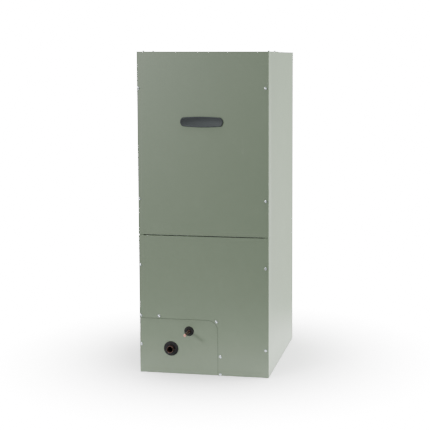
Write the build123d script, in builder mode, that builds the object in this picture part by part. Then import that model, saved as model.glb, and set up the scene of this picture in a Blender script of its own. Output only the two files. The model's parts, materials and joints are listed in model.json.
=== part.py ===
from build123d import *
import os
from math import atan2, ceil, cos, hypot, radians, sin

os.makedirs("parts", exist_ok=True)

# Upflow air handler. Millimetres, Z up, the front faces -Y and X points right as seen from the front.
# The origin is the middle of the cabinet's footprint, on the plane of its base.

# Cabinet envelope
cabinet_width = 470.0
cabinet_depth = 560.0
cabinet_height = 1147.0
sheet = 1.0
seat_gap = 0.3

half_width = cabinet_width / 2
front_y = -cabinet_depth / 2
back_y = cabinet_depth / 2

# Front: two lift-off doors on a pair of jambs, and a piping panel let into the lower door
door_return = 32.0
door_hem = 12.0
door_slot = 3.5
door_hem_clearance = 3.0
return_seam = 1.5
jamb_width = 18.0
jamb_hem = 15.0
jamb_y = front_y + 2 * (sheet + seat_gap)
jamb_side_x = half_width - sheet - seat_gap
jamb_edge_x = half_width - jamb_width
opening_half = jamb_edge_x

# Hex washer head sheet-metal screws
screw_washer_radius = 4.4
screw_washer_height = 0.9
screw_head_radius = 3.6
screw_head_height = 3.0
screw_shank_radius = 1.9
screw_length = 11.0
screw_hole_radius = 2.5
screw_washer_sides = 8
screw_hole_sides = 8
hex_sides = 6

# Base, return-air opening and filter
base_lip = 5.0
base_flange = 25.0
return_side_margin = 50.0
return_end_margin = 40.0
return_width = cabinet_width - 2 * return_side_margin
return_depth = cabinet_depth - 2 * return_end_margin
filter_side_overlap = 12.0
filter_end_overlap = 7.5
filter_width = return_width + 2 * filter_side_overlap
filter_depth = return_depth + 2 * filter_end_overlap
filter_height = 19.0
filter_border = 20.0
filter_front_gap = 27.0
filter_pleats = 12
filter_pleat_height = 12.0
filter_pleat_sheet = 1.2
filter_rail_floor = 6.0
filter_rail_lip = 12.0
filter_side_gap = 1.5
filter_head_gap = 1.0
filter_rail_sheet = 1.0

# Back panel and side flanges
rear_flange = 20.0
bead_width = 24.0
bead_rise = 2.0
bead_inset = 130.0

# Insulation
liner_thickness = 12.0
liner_joint = 0.5
liner_front_gap = 3.0
liner_lower_base = 42.0
door_insulation = 12.0
door_insulation_margin = 5.0

# Drain pan on two cross rails
pan_rail_top = 39.5
pan_rail_sheet = 1.5
pan_rail_width = 24.0
pan_rail_lip = 8.0
pan_rail_inset = 36.0
pan_height = 32.0
pan_wall = 3.0
pan_side_inset = 3.0
pan_front_inset = 22.0
pan_back_inset = 18.0
pan_corner_radius = 14.0
pan_window_inset = 48.0
pan_window_end_inset = 32.0
pan_curb_height = 24.0
drain_bore_radius = 12.2
drain_boss_radius = 17.0
drain_bore_depth = 18.0
drain_outlet_radius = 8.0
drain_hole_gap = 2.0
drain_recess = 0.5
drain_inset = 110.0
drain_rise = 17.5

# A-coil: two finned slabs that lean together over the pan
slab_thickness = 44.0
coil_front_space = 90.0
coil_back_space = 50.0
coil_headroom = 132.4
slab_foot_inset = 75.0
slab_top_x = 29.8
slab_lift = 2.0
fin_groove_count = 12
fin_groove_depth = 3.0
fin_groove_width = 17.0
tube_sheet = 1.5
tube_sheet_edge = 5.0
tube_row_gap = 22.0
tube_count = 8
tube_radius = 4.76
bend_reach = 22.0
delta_clearance = 0.2
cap_flange = 34.0

# Refrigerant tubes
tube_sides = 10
suction_inset = 115.5
suction_z = 91.2
suction_radius = 11.1
suction_wall = 1.1
suction_bell_radius = 12.15
suction_bell_length = 18.0
suction_bell_depth = 16.0
suction_bell_bore = 11.15
suction_proud = 16.3
manifold_inset = 44.0
manifold_crown = 6.0
manifold_bend_setback = 12.0
manifold_branch = 14.0
manifold_stub_count = 3
liquid_inset = 181.8
liquid_z = 156.9
liquid_radius = 4.76
liquid_proud = 61.3
liquid_bell_radius = 5.56
liquid_bell_length = 22.0
liquid_bell_proud = 5.3
liquid_bend_setback = 9.0
valve_x = 45.0
valve_lift = 28.0
valve_length = 44.0
valve_body_radius = 9.0
valve_nut_radius = 12.0
valve_nut_height = 12.0
distributor_length = 30.0
distributor_foot_radius = 7.0
distributor_head_radius = 12.8
distributor_head_length = 14.0
feeder_radius = 2.4
feeder_circle = 7.0
feeder_rise = 24.0
feeder_low_share = 0.74
feeder_high_share = 0.9

# Piping panel and its grommets
notch_width = 287.0
notch_height = 200.0
notch_radius = 38.0
notch_rim = 20.0
grommet_lip = 2.5
grommet_back_lip = 2.0
grommet_sides = 18
liquid_grommet_radius = 17.5
liquid_hole_radius = 14.0
suction_grommet_radius = 26.5
suction_hole_radius = 22.5
grommet_slide_gap = 0.3

# Screws of the front, from the photographed places
screw_left_inset = 5.5
screw_right_inset = 11.0
upper_screw_drop = 127.5
split_screw_rise = 128.5
split_screw_drop = 108.5
lower_screw_low = 99.0
notch_screw_margin = 8.3
notch_screw_inset = 72.5
notch_screw_z = 69.0
foot_screw_z = 5.5
piping_screw_z = 103.0
top_screw_inset = 10.0
top_screw_front = 55.0
top_screw_middle = 180.0
back_screw_inset = 9.0
back_screw_rows = 4

# Badge plate on the upper door
badge_x = -2.6
badge_drop = 244.6
badge_width = 153.0
badge_height = 37.5
badge_bulge = 3.0
badge_thickness = 3.5

# Top
cover_reach = 18.0
top_skirt = 20.0
supply_side_margin = 45.0
supply_front_margin = 30.0
supply_back_margin = 28.0
duct_screw_radius = 2.5
duct_screw_margin = 13.0
top_rail_height = 36.0
top_rail_depth = 22.0
centre_rail_height = 30.0
centre_rail_depth = 26.0
centre_rail_setback = 1.0

# Control section above the blower deck
control_height = 266.7
control_depth = 182.0
bulkhead_clearance = 2.0
bulkhead_flange = 26.0
heater_side_gap = 32.0
heater_tray_gap = 28.0
heater_height = 170.0
heater_base_gap = 36.0
heater_plate_margin = 14.0
tray_side_gap = 12.0
tray_width = 172.0
tray_height = 215.0
tray_depth = 32.0
tray_base_gap = 24.0
board_width = 112.0
board_height = 88.0
board_thickness = 1.6
board_standoff = 8.0
board_standoff_radius = 3.0
board_inset = 12.0
relay_width = 16.0
relay_length = 20.0
relay_height = 16.0
strip_width = 78.0
strip_height = 10.0
strip_depth = 12.0
transformer_width = 62.0
transformer_height = 52.0
transformer_core_depth = 22.0
transformer_coil_width = 38.0
transformer_coil_depth = 44.0
transformer_foot = 8.0
block_width = 52.0
block_height = 30.0
block_depth = 18.0
block_rib = 2.5
block_rib_rise = 8.0
contactor_width = 30.0
contactor_height = 40.0
contactor_depth = 30.0
wire_radius = 1.4
wire_bend_setback = 4.0
wire_rise = 12.0

# Blower deck on two rails
deck_side_gap = 3.0
deck_front_inset = 22.0
deck_back_inset = 18.0
deck_lip = 18.0
blower_rail_width = 20.0
blower_rail_drop = 26.0

# Scroll: four-centre housing around the wheel, discharging up
blower_y = 10.0
blower_drop = 180.3
scroll_floor_gap = 7.0
wheel_radius = 127.0
wheel_side_gap = 13.5
scroll_width = 230.0
scroll_start_radius = 139.0
scroll_step = 22.0
cutoff_angle = 125.0
scroll_edge = 6.0
scroll_flange = 16.0
bell_reach = 11.0
throat_radius = 100.0
ring_sides = 30

# Wheel
blade_count = 32
blade_inner_radius = 104.0
blade_lead = 7.0
blade_sagitta = 5.5
blade_sheet = 0.9
end_ring_inner_radius = 117.0
end_ring_width = 6.0
disc_sheet = 1.5
hub_radius = 16.0
hub_sides = 18
hub_length = 30.0
hub_reach = 20.0
hub_flange_radius = 30.0
hub_flange_sheet = 3.0
shaft_radius = 6.35
shaft_gap = 0.1
shaft_left_x = -24.0
shaft_engagement = 30.0

# Motor, held by a band and three arms in the right inlet
motor_radius = 70.0
motor_left_x = 18.0
motor_boss_length = 5.0
motor_boss_radius = 20.0
motor_end_depth = 8.0
motor_end_radius = 60.0
motor_end_sides = 20
motor_length = 96.0
motor_slot_count = 8
motor_slot_width = 7.0
motor_slot_length = 16.0
motor_slot_circle = 42.0
motor_slot_depth = 4.0
band_sheet = 1.5
band_sides = 24
band_width = 24.0
band_right_x = 124.0
band_ear = 12.0
band_ear_gap = 4.0
arm_count = 3
arm_width = 22.0
arm_thickness = 3.0
arm_reach = 130.0
arm_turn = 30.0

# Run capacitor and motor cable
capacitor_radius = 22.0
capacitor_sides = 16
capacitor_height = 76.0
capacitor_run = 148.0
capacitor_rise = 70.0
capacitor_bracket_sheet = 1.5
capacitor_post = 5.0
capacitor_post_width = 3.0
cable_radius = 4.0
cable_rise = 44.0
cable_out = 32.0
cable_bend_setback = 10.0
cable_top_gap = 14.0
plug_width = 24.0
plug_length = 30.0
plug_y = -96.0

# Places that follow from the sizes above, from the top down
deck_z = cabinet_height - control_height
blower_z = deck_z - blower_drop
scroll_low_z = blower_z - scroll_start_radius - 3 / 2 * scroll_step - scroll_edge
door_split = scroll_low_z - scroll_floor_gap - centre_rail_height / 2
bulkhead_y = front_y + control_depth
cover_depth = control_depth + cover_reach
supply_width = cabinet_width - 2 * supply_side_margin
supply_front_y = bulkhead_y + supply_front_margin
supply_back_y = back_y - supply_back_margin
supply_depth = supply_back_y - supply_front_y
supply_middle_y = (supply_front_y + supply_back_y) / 2
suction_x = suction_inset - half_width
liquid_x = liquid_inset - half_width
manifold_y = front_y + manifold_inset
drain_y = front_y + drain_inset
badge_z = cabinet_height - badge_drop
slab_foot_x = half_width - slab_foot_inset
slab_front_y = front_y + coil_front_space
slab_back_y = back_y - coil_back_space
slab_depth = slab_back_y - slab_front_y
slab_middle_y = (slab_front_y + slab_back_y) / 2
slab_length = hypot(slab_foot_x - slab_top_x, door_split - coil_headroom)
tilt = atan2(slab_foot_x - slab_top_x, door_split - coil_headroom)
tube_pitch = slab_length / tube_count
pan_window_half_width = slab_foot_x - pan_window_inset
pan_window_half_depth = slab_depth / 2 - pan_window_end_inset
wheel_width = scroll_width - 2 * wheel_side_gap
capacitor_y = blower_y + capacitor_run
capacitor_z = blower_z + capacitor_rise

# Planes used by several pieces
front_plane = Plane.XZ.offset(-front_y)
piping_front_y = front_y + sheet + seat_gap
piping_plane = Plane.XZ.offset(-piping_front_y)
side_top = cabinet_height - sheet
inner_half = half_width - sheet
pan_floor = pan_rail_top + pan_wall
liner_half = inner_half - liner_thickness
notch_right_x = notch_width - half_width
joggle_y = front_y + door_return + return_seam
liner_front_y = joggle_y + liner_front_gap


def hex_screws(seat, spots):
    """Hex washer head screws with their washers on one plane and their shanks behind it."""
    with BuildPart() as screws:
        with BuildSketch(seat):
            with Locations(*spots):
                RegularPolygon(screw_washer_radius, screw_washer_sides)
        extrude(amount=screw_washer_height)
        with BuildSketch(seat.offset(screw_washer_height)):
            with Locations(*spots):
                RegularPolygon(screw_head_radius, hex_sides)
        extrude(amount=screw_head_height)
        with BuildSketch(seat):
            with Locations(*spots):
                RegularPolygon(screw_shank_radius, hex_sides)
        extrude(amount=-screw_length)
    return screws


def hex_heads(seat, spots):
    """Heads of screws that are driven home in the sheet behind one plane."""
    with BuildPart() as heads:
        with BuildSketch(seat):
            with Locations(*spots):
                RegularPolygon(screw_head_radius, hex_sides)
        extrude(amount=screw_head_height)
    return heads


def bent_route(points, setback):
    """Chain of points with each corner cut by a chord, for a bent tube drawn in flats."""
    chain = [Vector(*point) for point in points]
    route = [chain[0]]
    for before, corner, after in zip(chain, chain[1:], chain[2:]):
        route.append(corner + (before - corner).normalized() * setback)
        route.append(corner + (after - corner).normalized() * setback)
    return route + [chain[-1]]


def drill_screw_holes(seat, spots):
    """Clearance holes through the sheet that lies at one plane, cut from the part being built."""
    with BuildSketch(seat) as holes:
        with Locations(*spots):
            RegularPolygon(screw_hole_radius, screw_hole_sides)
    extrude(holes.sketch, amount=sheet + seat_gap, both=True, mode=Mode.SUBTRACT)


def folded_profile(points, thickness, side):
    """Section of a sheet folded along a chain of points, laid on one side of them, in the sketch being built."""
    chain = [Vector(*point) for point in points]
    hand = 1 if side == Side.LEFT else -1
    normals = [
        Vector(start.Y - end.Y, end.X - start.X).normalized() * hand
        for start, end in zip(chain, chain[1:])
    ]
    inner = [chain[0] + normals[0] * thickness]
    for corner, before, after in zip(chain[1:], normals, normals[1:]):
        inner.append(corner + (before + after) * (thickness / (1 + before.dot(after))))
    inner.append(chain[-1] + normals[-1] * thickness)
    Polygon(*chain, *reversed(inner))


# Places of the front screws
upper_screw_high_z = cabinet_height - upper_screw_drop
split_screw_z = door_split + split_screw_rise
lower_screw_high_z = door_split - split_screw_drop
notch_screw_x = notch_screw_inset - half_width
screw_left_x = -half_width + screw_left_inset
screw_right_x = half_width - screw_right_inset
notch_centre_x = notch_right_x - notch_radius
notch_centre_z = notch_height - notch_radius
arc_screw_reach = (notch_radius + notch_screw_margin) * sin(radians(45))
upper_screw_spots = [
    (screw_left_x, upper_screw_high_z),
    (screw_right_x, upper_screw_high_z),
    (screw_left_x, split_screw_z),
    (screw_right_x, split_screw_z),
]
lower_screw_spots = [
    (screw_left_x, lower_screw_high_z),
    (screw_right_x, lower_screw_high_z),
    (screw_right_x, lower_screw_low),
    (screw_left_x, notch_height + notch_screw_margin),
    (notch_screw_x, notch_height + notch_screw_margin),
    (notch_centre_x + arc_screw_reach, notch_centre_z + arc_screw_reach),
    (notch_right_x + notch_screw_margin, notch_screw_z),
    (notch_right_x + notch_screw_margin, foot_screw_z),
]
piping_screw_spots = [(screw_left_x, piping_screw_z)]
front_screw_spots = upper_screw_spots + lower_screw_spots + piping_screw_spots


# Base frame: footprint ring with the return-air opening, upturned flanges and a low front lip
with BuildPart() as base_frame:
    with BuildSketch():
        with Locations((0, joggle_y)):
            Rectangle(cabinet_width, back_y - joggle_y, align=(Align.CENTER, Align.MIN))
        with Locations((0, jamb_y)):
            Rectangle(2 * jamb_side_x, joggle_y - jamb_y, align=(Align.CENTER, Align.MIN))
        Rectangle(return_width, return_depth, mode=Mode.SUBTRACT)
    extrude(amount=sheet)
    with BuildSketch(Plane.XY.offset(sheet)):
        with Locations((inner_half, 0), (-inner_half, 0)):
            Rectangle(2 * sheet, return_depth)
        with Locations((0, 0)):
            Rectangle(2 * inner_half, return_depth, mode=Mode.INTERSECT)
    extrude(amount=base_flange - sheet)
    with BuildSketch(Plane.XY.offset(sheet)):
        with Locations((0, back_y - 2 * sheet)):
            Rectangle(2 * (inner_half - sheet), sheet, align=(Align.CENTER, Align.MAX))
    extrude(amount=base_flange - sheet)
    with BuildSketch(Plane.XY.offset(sheet)):
        with Locations((0, jamb_y + sheet)):
            Rectangle(2 * opening_half, sheet, align=(Align.CENTER, Align.MIN))
    extrude(amount=base_lip - sheet)
    drill_screw_holes(Plane.XZ.offset(-jamb_y - sheet), lower_screw_spots)
base_frame.part.label = "base_frame"
export_step(base_frame.part, "parts/base_frame.step")


# Side panels: rear flange, side, joggle under the door's flange, front jamb and hem in one folded sheet
joggle_run = half_width - jamb_side_x
with BuildPart() as side_panel_right:
    with BuildSketch(Plane.XY.offset(sheet)):
        folded_profile(
            [
                (half_width - rear_flange, back_y),
                (half_width, back_y),
                (half_width, joggle_y),
                (jamb_side_x, joggle_y - joggle_run),
                (jamb_side_x, jamb_y),
                (jamb_edge_x, jamb_y),
                (jamb_edge_x, jamb_y + jamb_hem),
            ],
            sheet,
            Side.RIGHT,
        )
    extrude(amount=side_top - sheet)
    drill_screw_holes(Plane.XZ.offset(-jamb_y), front_screw_spots)
side_panel_right.part.label = "side_panel_right"
export_step(side_panel_right.part, "parts/side_panel_right.step")

drain_spot = (drain_y, pan_rail_top + drain_rise)
with BuildPart() as side_panel_left:
    with BuildSketch(Plane.XY.offset(sheet)):
        folded_profile(
            [
                (rear_flange - half_width, back_y),
                (-half_width, back_y),
                (-half_width, joggle_y),
                (-jamb_side_x, joggle_y - joggle_run),
                (-jamb_side_x, jamb_y),
                (-jamb_edge_x, jamb_y),
                (-jamb_edge_x, jamb_y + jamb_hem),
            ],
            sheet,
            Side.LEFT,
        )
    extrude(amount=side_top - sheet)
    drill_screw_holes(Plane.XZ.offset(-jamb_y), front_screw_spots)
    with BuildSketch(Plane.YZ.offset(-half_width)):
        with Locations(drain_spot):
            Circle(drain_boss_radius + drain_hole_gap)
    extrude(amount=sheet, mode=Mode.SUBTRACT)
side_panel_left.part.label = "side_panel_left"
export_step(side_panel_left.part, "parts/side_panel_left.step")


# Back panel: inside the rear flanges, with two pressed stiffening beads
with BuildPart() as back_panel:
    with BuildSketch(Plane.XY.offset(sheet)):
        folded_profile(
            [
                (-inner_half, back_y - sheet),
                (-bead_inset - bead_width / 2, back_y - sheet),
                (-bead_inset, back_y - sheet + bead_rise / 2),
                (-bead_inset + bead_width / 2, back_y - sheet),
                (bead_inset - bead_width / 2, back_y - sheet),
                (bead_inset, back_y - sheet + bead_rise / 2),
                (bead_inset + bead_width / 2, back_y - sheet),
                (inner_half, back_y - sheet),
            ],
            sheet,
            Side.RIGHT,
        )
    extrude(amount=side_top - sheet)
back_panel.part.label = "back_panel"
export_step(back_panel.part, "parts/back_panel.step")


# Top panel with skirts inside the sides and back, the supply opening and four duct screw holes
top_panel_front = front_y + cover_depth
top_panel_back = back_y - 2 * sheet
duct_spots = [
    (side_x * (supply_width / 2 + duct_screw_margin), supply_middle_y + side_y * supply_depth / 2)
    for side_x in (-1, 1)
    for side_y in (-1, 1)
]
with BuildPart() as top_panel:
    with BuildSketch(Plane.XY.offset(side_top)):
        with Locations((0, (top_panel_front + top_panel_back) / 2)):
            Rectangle(2 * inner_half, top_panel_back - top_panel_front)
    extrude(amount=-sheet)
    with BuildSketch(Plane.XY.offset(side_top - sheet)):
        with Locations((0, (top_panel_front + top_panel_back) / 2)):
            Rectangle(2 * inner_half, top_panel_back - top_panel_front)
        with Locations((0, (top_panel_front + top_panel_back) / 2 - sheet)):
            Rectangle(2 * (inner_half - sheet), top_panel_back - top_panel_front, mode=Mode.SUBTRACT)
    extrude(amount=sheet - top_skirt)
    with BuildSketch(Plane.XY.offset(side_top)):
        with Locations((0, supply_middle_y)):
            Rectangle(supply_width, supply_depth)
        with Locations(*duct_spots):
            Circle(duct_screw_radius)
    extrude(amount=-sheet, mode=Mode.SUBTRACT)
top_panel.part.label = "top_panel"
export_step(top_panel.part, "parts/top_panel.step")

with BuildPart() as top_front_cover:
    with BuildSketch(Plane.XY.offset(side_top)):
        with Locations((0, front_y + cover_depth / 2)):
            Rectangle(cabinet_width, cover_depth)
    extrude(amount=sheet)
    fillet(top_front_cover.edges().filter_by(Axis.Z).group_by(Axis.Y)[0], radius=4 * sheet)
top_front_cover.part.label = "top_front_cover"
export_step(top_front_cover.part, "parts/top_front_cover.step")


# Front rails between the jambs: an angle under the cover and a channel behind the slot between the doors
centre_rail_y = front_y + door_hem + centre_rail_setback
with BuildPart() as front_rails:
    with BuildSketch(Plane.YZ.offset(-opening_half)):
        folded_profile(
            [
                (jamb_y, side_top - top_rail_height),
                (jamb_y, side_top),
                (jamb_y + top_rail_depth, side_top),
            ],
            sheet,
            Side.RIGHT,
        )
        folded_profile(
            [
                (centre_rail_y + centre_rail_depth, door_split - centre_rail_height / 2),
                (centre_rail_y, door_split - centre_rail_height / 2),
                (centre_rail_y, door_split + centre_rail_height / 2),
                (centre_rail_y + centre_rail_depth, door_split + centre_rail_height / 2),
            ],
            sheet,
            Side.RIGHT,
        )
    extrude(amount=2 * opening_half)
front_rails.part.label = "front_rails"
export_step(front_rails.part, "parts/front_rails.step")


# Insulation boards: one on each side and one between them on the back, above and below
liner_back_y = back_y - 2 * sheet
with BuildSketch() as liner_boards:
    with Locations((inner_half, liner_back_y)):
        Rectangle(liner_thickness, liner_back_y - liner_front_y, align=Align.MAX)
    with Locations((-inner_half, liner_back_y)):
        Rectangle(liner_thickness, liner_back_y - liner_front_y, align=(Align.MIN, Align.MAX))
    with Locations((0, liner_back_y)):
        Rectangle(
            2 * (liner_half - liner_joint),
            liner_thickness,
            align=(Align.CENTER, Align.MAX),
        )

with BuildPart() as liner_upper:
    with BuildSketch(Plane.XY.offset(door_split + centre_rail_height / 2)):
        add(liner_boards.sketch)
    extrude(amount=side_top - top_skirt - door_split - centre_rail_height / 2)
liner_upper.part.label = "liner_upper"
export_step(liner_upper.part, "parts/liner_upper.step")

with BuildPart() as liner_lower:
    with BuildSketch(Plane.XY.offset(liner_lower_base)):
        add(liner_boards.sketch)
    extrude(amount=door_split - centre_rail_height / 2 - liner_lower_base)
    with BuildSketch(Plane.YZ.offset(-inner_half)):
        with Locations(drain_spot):
            Circle(drain_boss_radius + drain_hole_gap)
    extrude(amount=liner_thickness, mode=Mode.SUBTRACT)
liner_lower.part.label = "liner_lower"
export_step(liner_lower.part, "parts/liner_lower.step")


# Filter rails: two channels with their mouths inward, standing off the base flanges
filter_z = filter_rail_floor + seat_gap
rail_web_x = filter_width / 2 + filter_side_gap
rail_top = filter_z + filter_height + filter_head_gap
with BuildPart() as filter_rails:
    for side_x, hand in ((1, Side.LEFT), (-1, Side.RIGHT)):
        with BuildSketch(Plane.XZ.offset(-return_depth / 2)):
            folded_profile(
                [
                    (side_x * (rail_web_x - filter_rail_lip), rail_top),
                    (side_x * rail_web_x, rail_top),
                    (side_x * rail_web_x, filter_rail_floor),
                    (side_x * (rail_web_x - filter_rail_lip), filter_rail_floor),
                ],
                filter_rail_sheet,
                hand,
            )
            with Locations((side_x * rail_web_x, filter_rail_floor)):
                Rectangle(
                    inner_half - sheet - rail_web_x,
                    filter_rail_sheet,
                    align=(Align.MIN if side_x > 0 else Align.MAX, Align.MIN),
                )
        extrude(amount=return_depth)
filter_rails.part.label = "filter_rails"
export_step(filter_rails.part, "parts/filter_rails.step")


# Filter: a card frame round a pleated pack
filter_front_y = front_y + filter_front_gap
filter_middle_y = filter_front_y + filter_depth / 2
with BuildPart() as filter_frame:
    with BuildSketch(Plane.XY.offset(filter_z)):
        with Locations((0, filter_middle_y)):
            Rectangle(filter_width, filter_depth)
            Rectangle(
                filter_width - 2 * filter_border,
                filter_depth - 2 * filter_border,
                mode=Mode.SUBTRACT,
            )
    extrude(amount=filter_height)
filter_frame.part.label = "filter_frame"
export_step(filter_frame.part, "parts/filter_frame.step")

pleat_pitch = (filter_width - 2 * filter_border) / filter_pleats
pleat_low = filter_z + (filter_height - filter_pleat_height) / 2
pleat_points = [
    (i * pleat_pitch / 2 - filter_width / 2 + filter_border, pleat_low + (i % 2) * filter_pleat_height)
    for i in range(2 * filter_pleats + 1)
]
with BuildPart() as filter_media:
    with BuildSketch(Plane.XZ.offset(-filter_front_y - filter_border)):
        Polygon(*pleat_points, *[(x, z + filter_pleat_sheet) for x, z in reversed(pleat_points)])
    extrude(amount=-(filter_depth - 2 * filter_border))
filter_media.part.label = "filter_media"
export_step(filter_media.part, "parts/filter_media.step")


# Pan rails: two angles across the cabinet
with BuildPart() as pan_rails:
    for edge_y, inward, hand in (
        (front_y + pan_rail_inset, 1, Side.RIGHT),
        (back_y - 2 * sheet - liner_thickness, -1, Side.LEFT),
    ):
        with BuildSketch(Plane.YZ.offset(-inner_half)):
            folded_profile(
                [
                    (edge_y, pan_rail_top - pan_rail_lip),
                    (edge_y, pan_rail_top),
                    (edge_y + inward * pan_rail_width, pan_rail_top),
                ],
                pan_rail_sheet,
                hand,
            )
        extrude(amount=2 * inner_half)
pan_rails.part.label = "pan_rails"
export_step(pan_rails.part, "parts/pan_rails.step")


# Drain pan: shallow moulded tray with a curbed window for the air and two threaded ports at the left
pan_half_width = opening_half - pan_side_inset
pan_front = front_y + pan_front_inset
pan_back = back_y - pan_back_inset
pan_middle_y = (pan_front + pan_back) / 2
with BuildPart() as drain_pan:
    with BuildSketch(Plane.XY.offset(pan_rail_top)):
        with Locations((0, pan_middle_y)):
            RectangleRounded(2 * pan_half_width, pan_back - pan_front, pan_corner_radius)
    extrude(amount=pan_height)
    with BuildSketch(Plane.XY.offset(pan_floor)):
        with Locations((0, pan_middle_y)):
            RectangleRounded(
                2 * (pan_half_width - pan_wall),
                pan_back - pan_front - 2 * pan_wall,
                pan_corner_radius - pan_wall,
            )
    extrude(amount=pan_height, mode=Mode.SUBTRACT)
    with BuildSketch(Plane.XY.offset(pan_rail_top)):
        with Locations((0, slab_middle_y)):
            Rectangle(2 * (pan_window_half_width + pan_wall), 2 * (pan_window_half_depth + pan_wall))
    extrude(amount=pan_curb_height)
    with BuildSketch(Plane.XY.offset(pan_rail_top)):
        with Locations((0, slab_middle_y)):
            Rectangle(2 * pan_window_half_width, 2 * pan_window_half_depth)
    extrude(amount=pan_height, mode=Mode.SUBTRACT)
    with BuildSketch(Plane.YZ.offset(-half_width + drain_recess)):
        with Locations(drain_spot):
            Circle(drain_boss_radius)
    extrude(amount=half_width - drain_recess - pan_half_width + pan_wall)
    with BuildSketch(Plane.YZ.offset(-half_width + drain_recess)):
        with Locations(drain_spot):
            Circle(drain_bore_radius)
    extrude(amount=drain_bore_depth, mode=Mode.SUBTRACT)
    with BuildSketch(Plane.YZ.offset(-half_width + drain_recess)):
        with Locations(drain_spot):
            RegularPolygon(drain_outlet_radius, hex_sides)
    extrude(amount=half_width - drain_recess - pan_half_width + 2 * pan_wall, mode=Mode.SUBTRACT)
drain_pan.part.label = "drain_pan"
export_step(drain_pan.part, "parts/drain_pan.step")


# Coil slabs: finned blocks on a plane that leans with the slab, grooved on both faces
slab_foot_z = pan_floor + slab_lift + slab_thickness / 2 * sin(tilt)


def slab_spot(along, across):
    """Place on the right slab's section, from its foot along its slope and across its thickness."""
    return (
        slab_foot_x - along * sin(tilt) + across * cos(tilt),
        slab_foot_z + along * cos(tilt) + across * sin(tilt),
    )


def slab_spot_at_height(height, across):
    """Place on a line along the right slab's slope at a given height."""
    along = (height - slab_foot_z - across * sin(tilt)) / cos(tilt)
    return slab_spot(along, across)


slab_plane = Plane(
    origin=(slab_foot_x, slab_middle_y, slab_foot_z),
    x_dir=(cos(tilt), 0, sin(tilt)),
    z_dir=(-sin(tilt), 0, cos(tilt)),
)
with BuildPart() as coil_slab_right:
    with BuildSketch(slab_plane):
        Rectangle(slab_thickness, slab_depth)
        with GridLocations(
            slab_thickness - fin_groove_depth, slab_depth / fin_groove_count, 2, fin_groove_count
        ):
            Rectangle(fin_groove_depth, fin_groove_width, mode=Mode.SUBTRACT)
    extrude(amount=slab_length)
coil_slab_right.part.label = "coil_slab_right"
export_step(coil_slab_right.part, "parts/coil_slab_right.step")

with BuildPart() as coil_slab_left:
    mirror(coil_slab_right.part, about=Plane.YZ)
coil_slab_left.part.label = "coil_slab_left"
export_step(coil_slab_left.part, "parts/coil_slab_left.step")


# Tube sheets at both ends of both slabs, standing on the pan floor
plate_across = slab_thickness / 2 + tube_sheet_edge
plate_outline = [
    slab_spot_at_height(pan_floor, -plate_across),
    slab_spot_at_height(pan_floor, plate_across),
    slab_spot(slab_length, plate_across),
    slab_spot(slab_length, -plate_across),
]
with BuildPart() as coil_end_plates:
    for plate_plane in (Plane.XZ.offset(-slab_front_y), Plane.XZ.offset(-slab_back_y - tube_sheet)):
        with BuildSketch(plate_plane):
            Polygon(*plate_outline)
            mirror(about=Plane.YZ)
        extrude(amount=tube_sheet)
coil_end_plates.part.label = "coil_end_plates"
export_step(coil_end_plates.part, "parts/coil_end_plates.step")


# Return bends: one bend form drawn in flats, set across the rows in front and along the rows behind
bend_outer = tube_row_gap / 2 + tube_radius
bend_inner = tube_row_gap / 2 - tube_radius
bend_waist = bend_reach - 2 * tube_radius
with BuildPart() as bend_form:
    with BuildSketch(Plane.XZ.offset(-tube_radius)):
        Polygon(
            (-bend_outer, 0),
            (-bend_inner, bend_reach),
            (bend_inner, bend_reach),
            (bend_outer, 0),
            (bend_inner, 0),
            (bend_inner / 2, bend_waist),
            (-bend_inner / 2, bend_waist),
            (-bend_inner, 0),
        )
    extrude(amount=2 * tube_radius)

bend_places = []
for i in range(tube_count):
    middle_x, middle_z = slab_spot((i + 1 / 2) * tube_pitch, 0)
    bend_places.append(
        Location(
            Plane(
                origin=(middle_x, slab_front_y - tube_sheet, middle_z),
                x_dir=(cos(tilt), 0, sin(tilt)),
                z_dir=(0, -1, 0),
            )
        )
    )
for i in range(tube_count // 2):
    for row in (-1, 1):
        middle_x, middle_z = slab_spot((2 * i + 1) * tube_pitch, row * tube_row_gap / 2)
        bend_places.append(
            Location(
                Plane(
                    origin=(middle_x, slab_back_y + tube_sheet, middle_z),
                    x_dir=(-sin(tilt), 0, cos(tilt)),
                    z_dir=(0, 1, 0),
                )
            )
        )
with BuildPart() as return_bends:
    with Locations(*bend_places):
        add(bend_form.part)
    mirror(about=Plane.YZ)
return_bends.part.label = "return_bends"
export_step(return_bends.part, "parts/return_bends.step")


# Delta plates: blank triangles between the tube sheets, which close the A at both ends
delta_across = -plate_across - delta_clearance
delta_foot_x = slab_spot_at_height(pan_rail_top + pan_curb_height, delta_across)[0]
delta_top_x, delta_top_z = slab_spot(slab_length - plate_across, delta_across)
with BuildPart() as delta_plates:
    for plate_plane in (Plane.XZ.offset(-slab_front_y), Plane.XZ.offset(-slab_back_y - tube_sheet)):
        with BuildSketch(plate_plane):
            Polygon(
                (-delta_foot_x, pan_rail_top + pan_curb_height),
                (delta_foot_x, pan_rail_top + pan_curb_height),
                (delta_top_x, delta_top_z),
                (-delta_top_x, delta_top_z),
            )
        extrude(amount=tube_sheet)
delta_plates.part.label = "delta_plates"
export_step(delta_plates.part, "parts/delta_plates.step")


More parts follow.
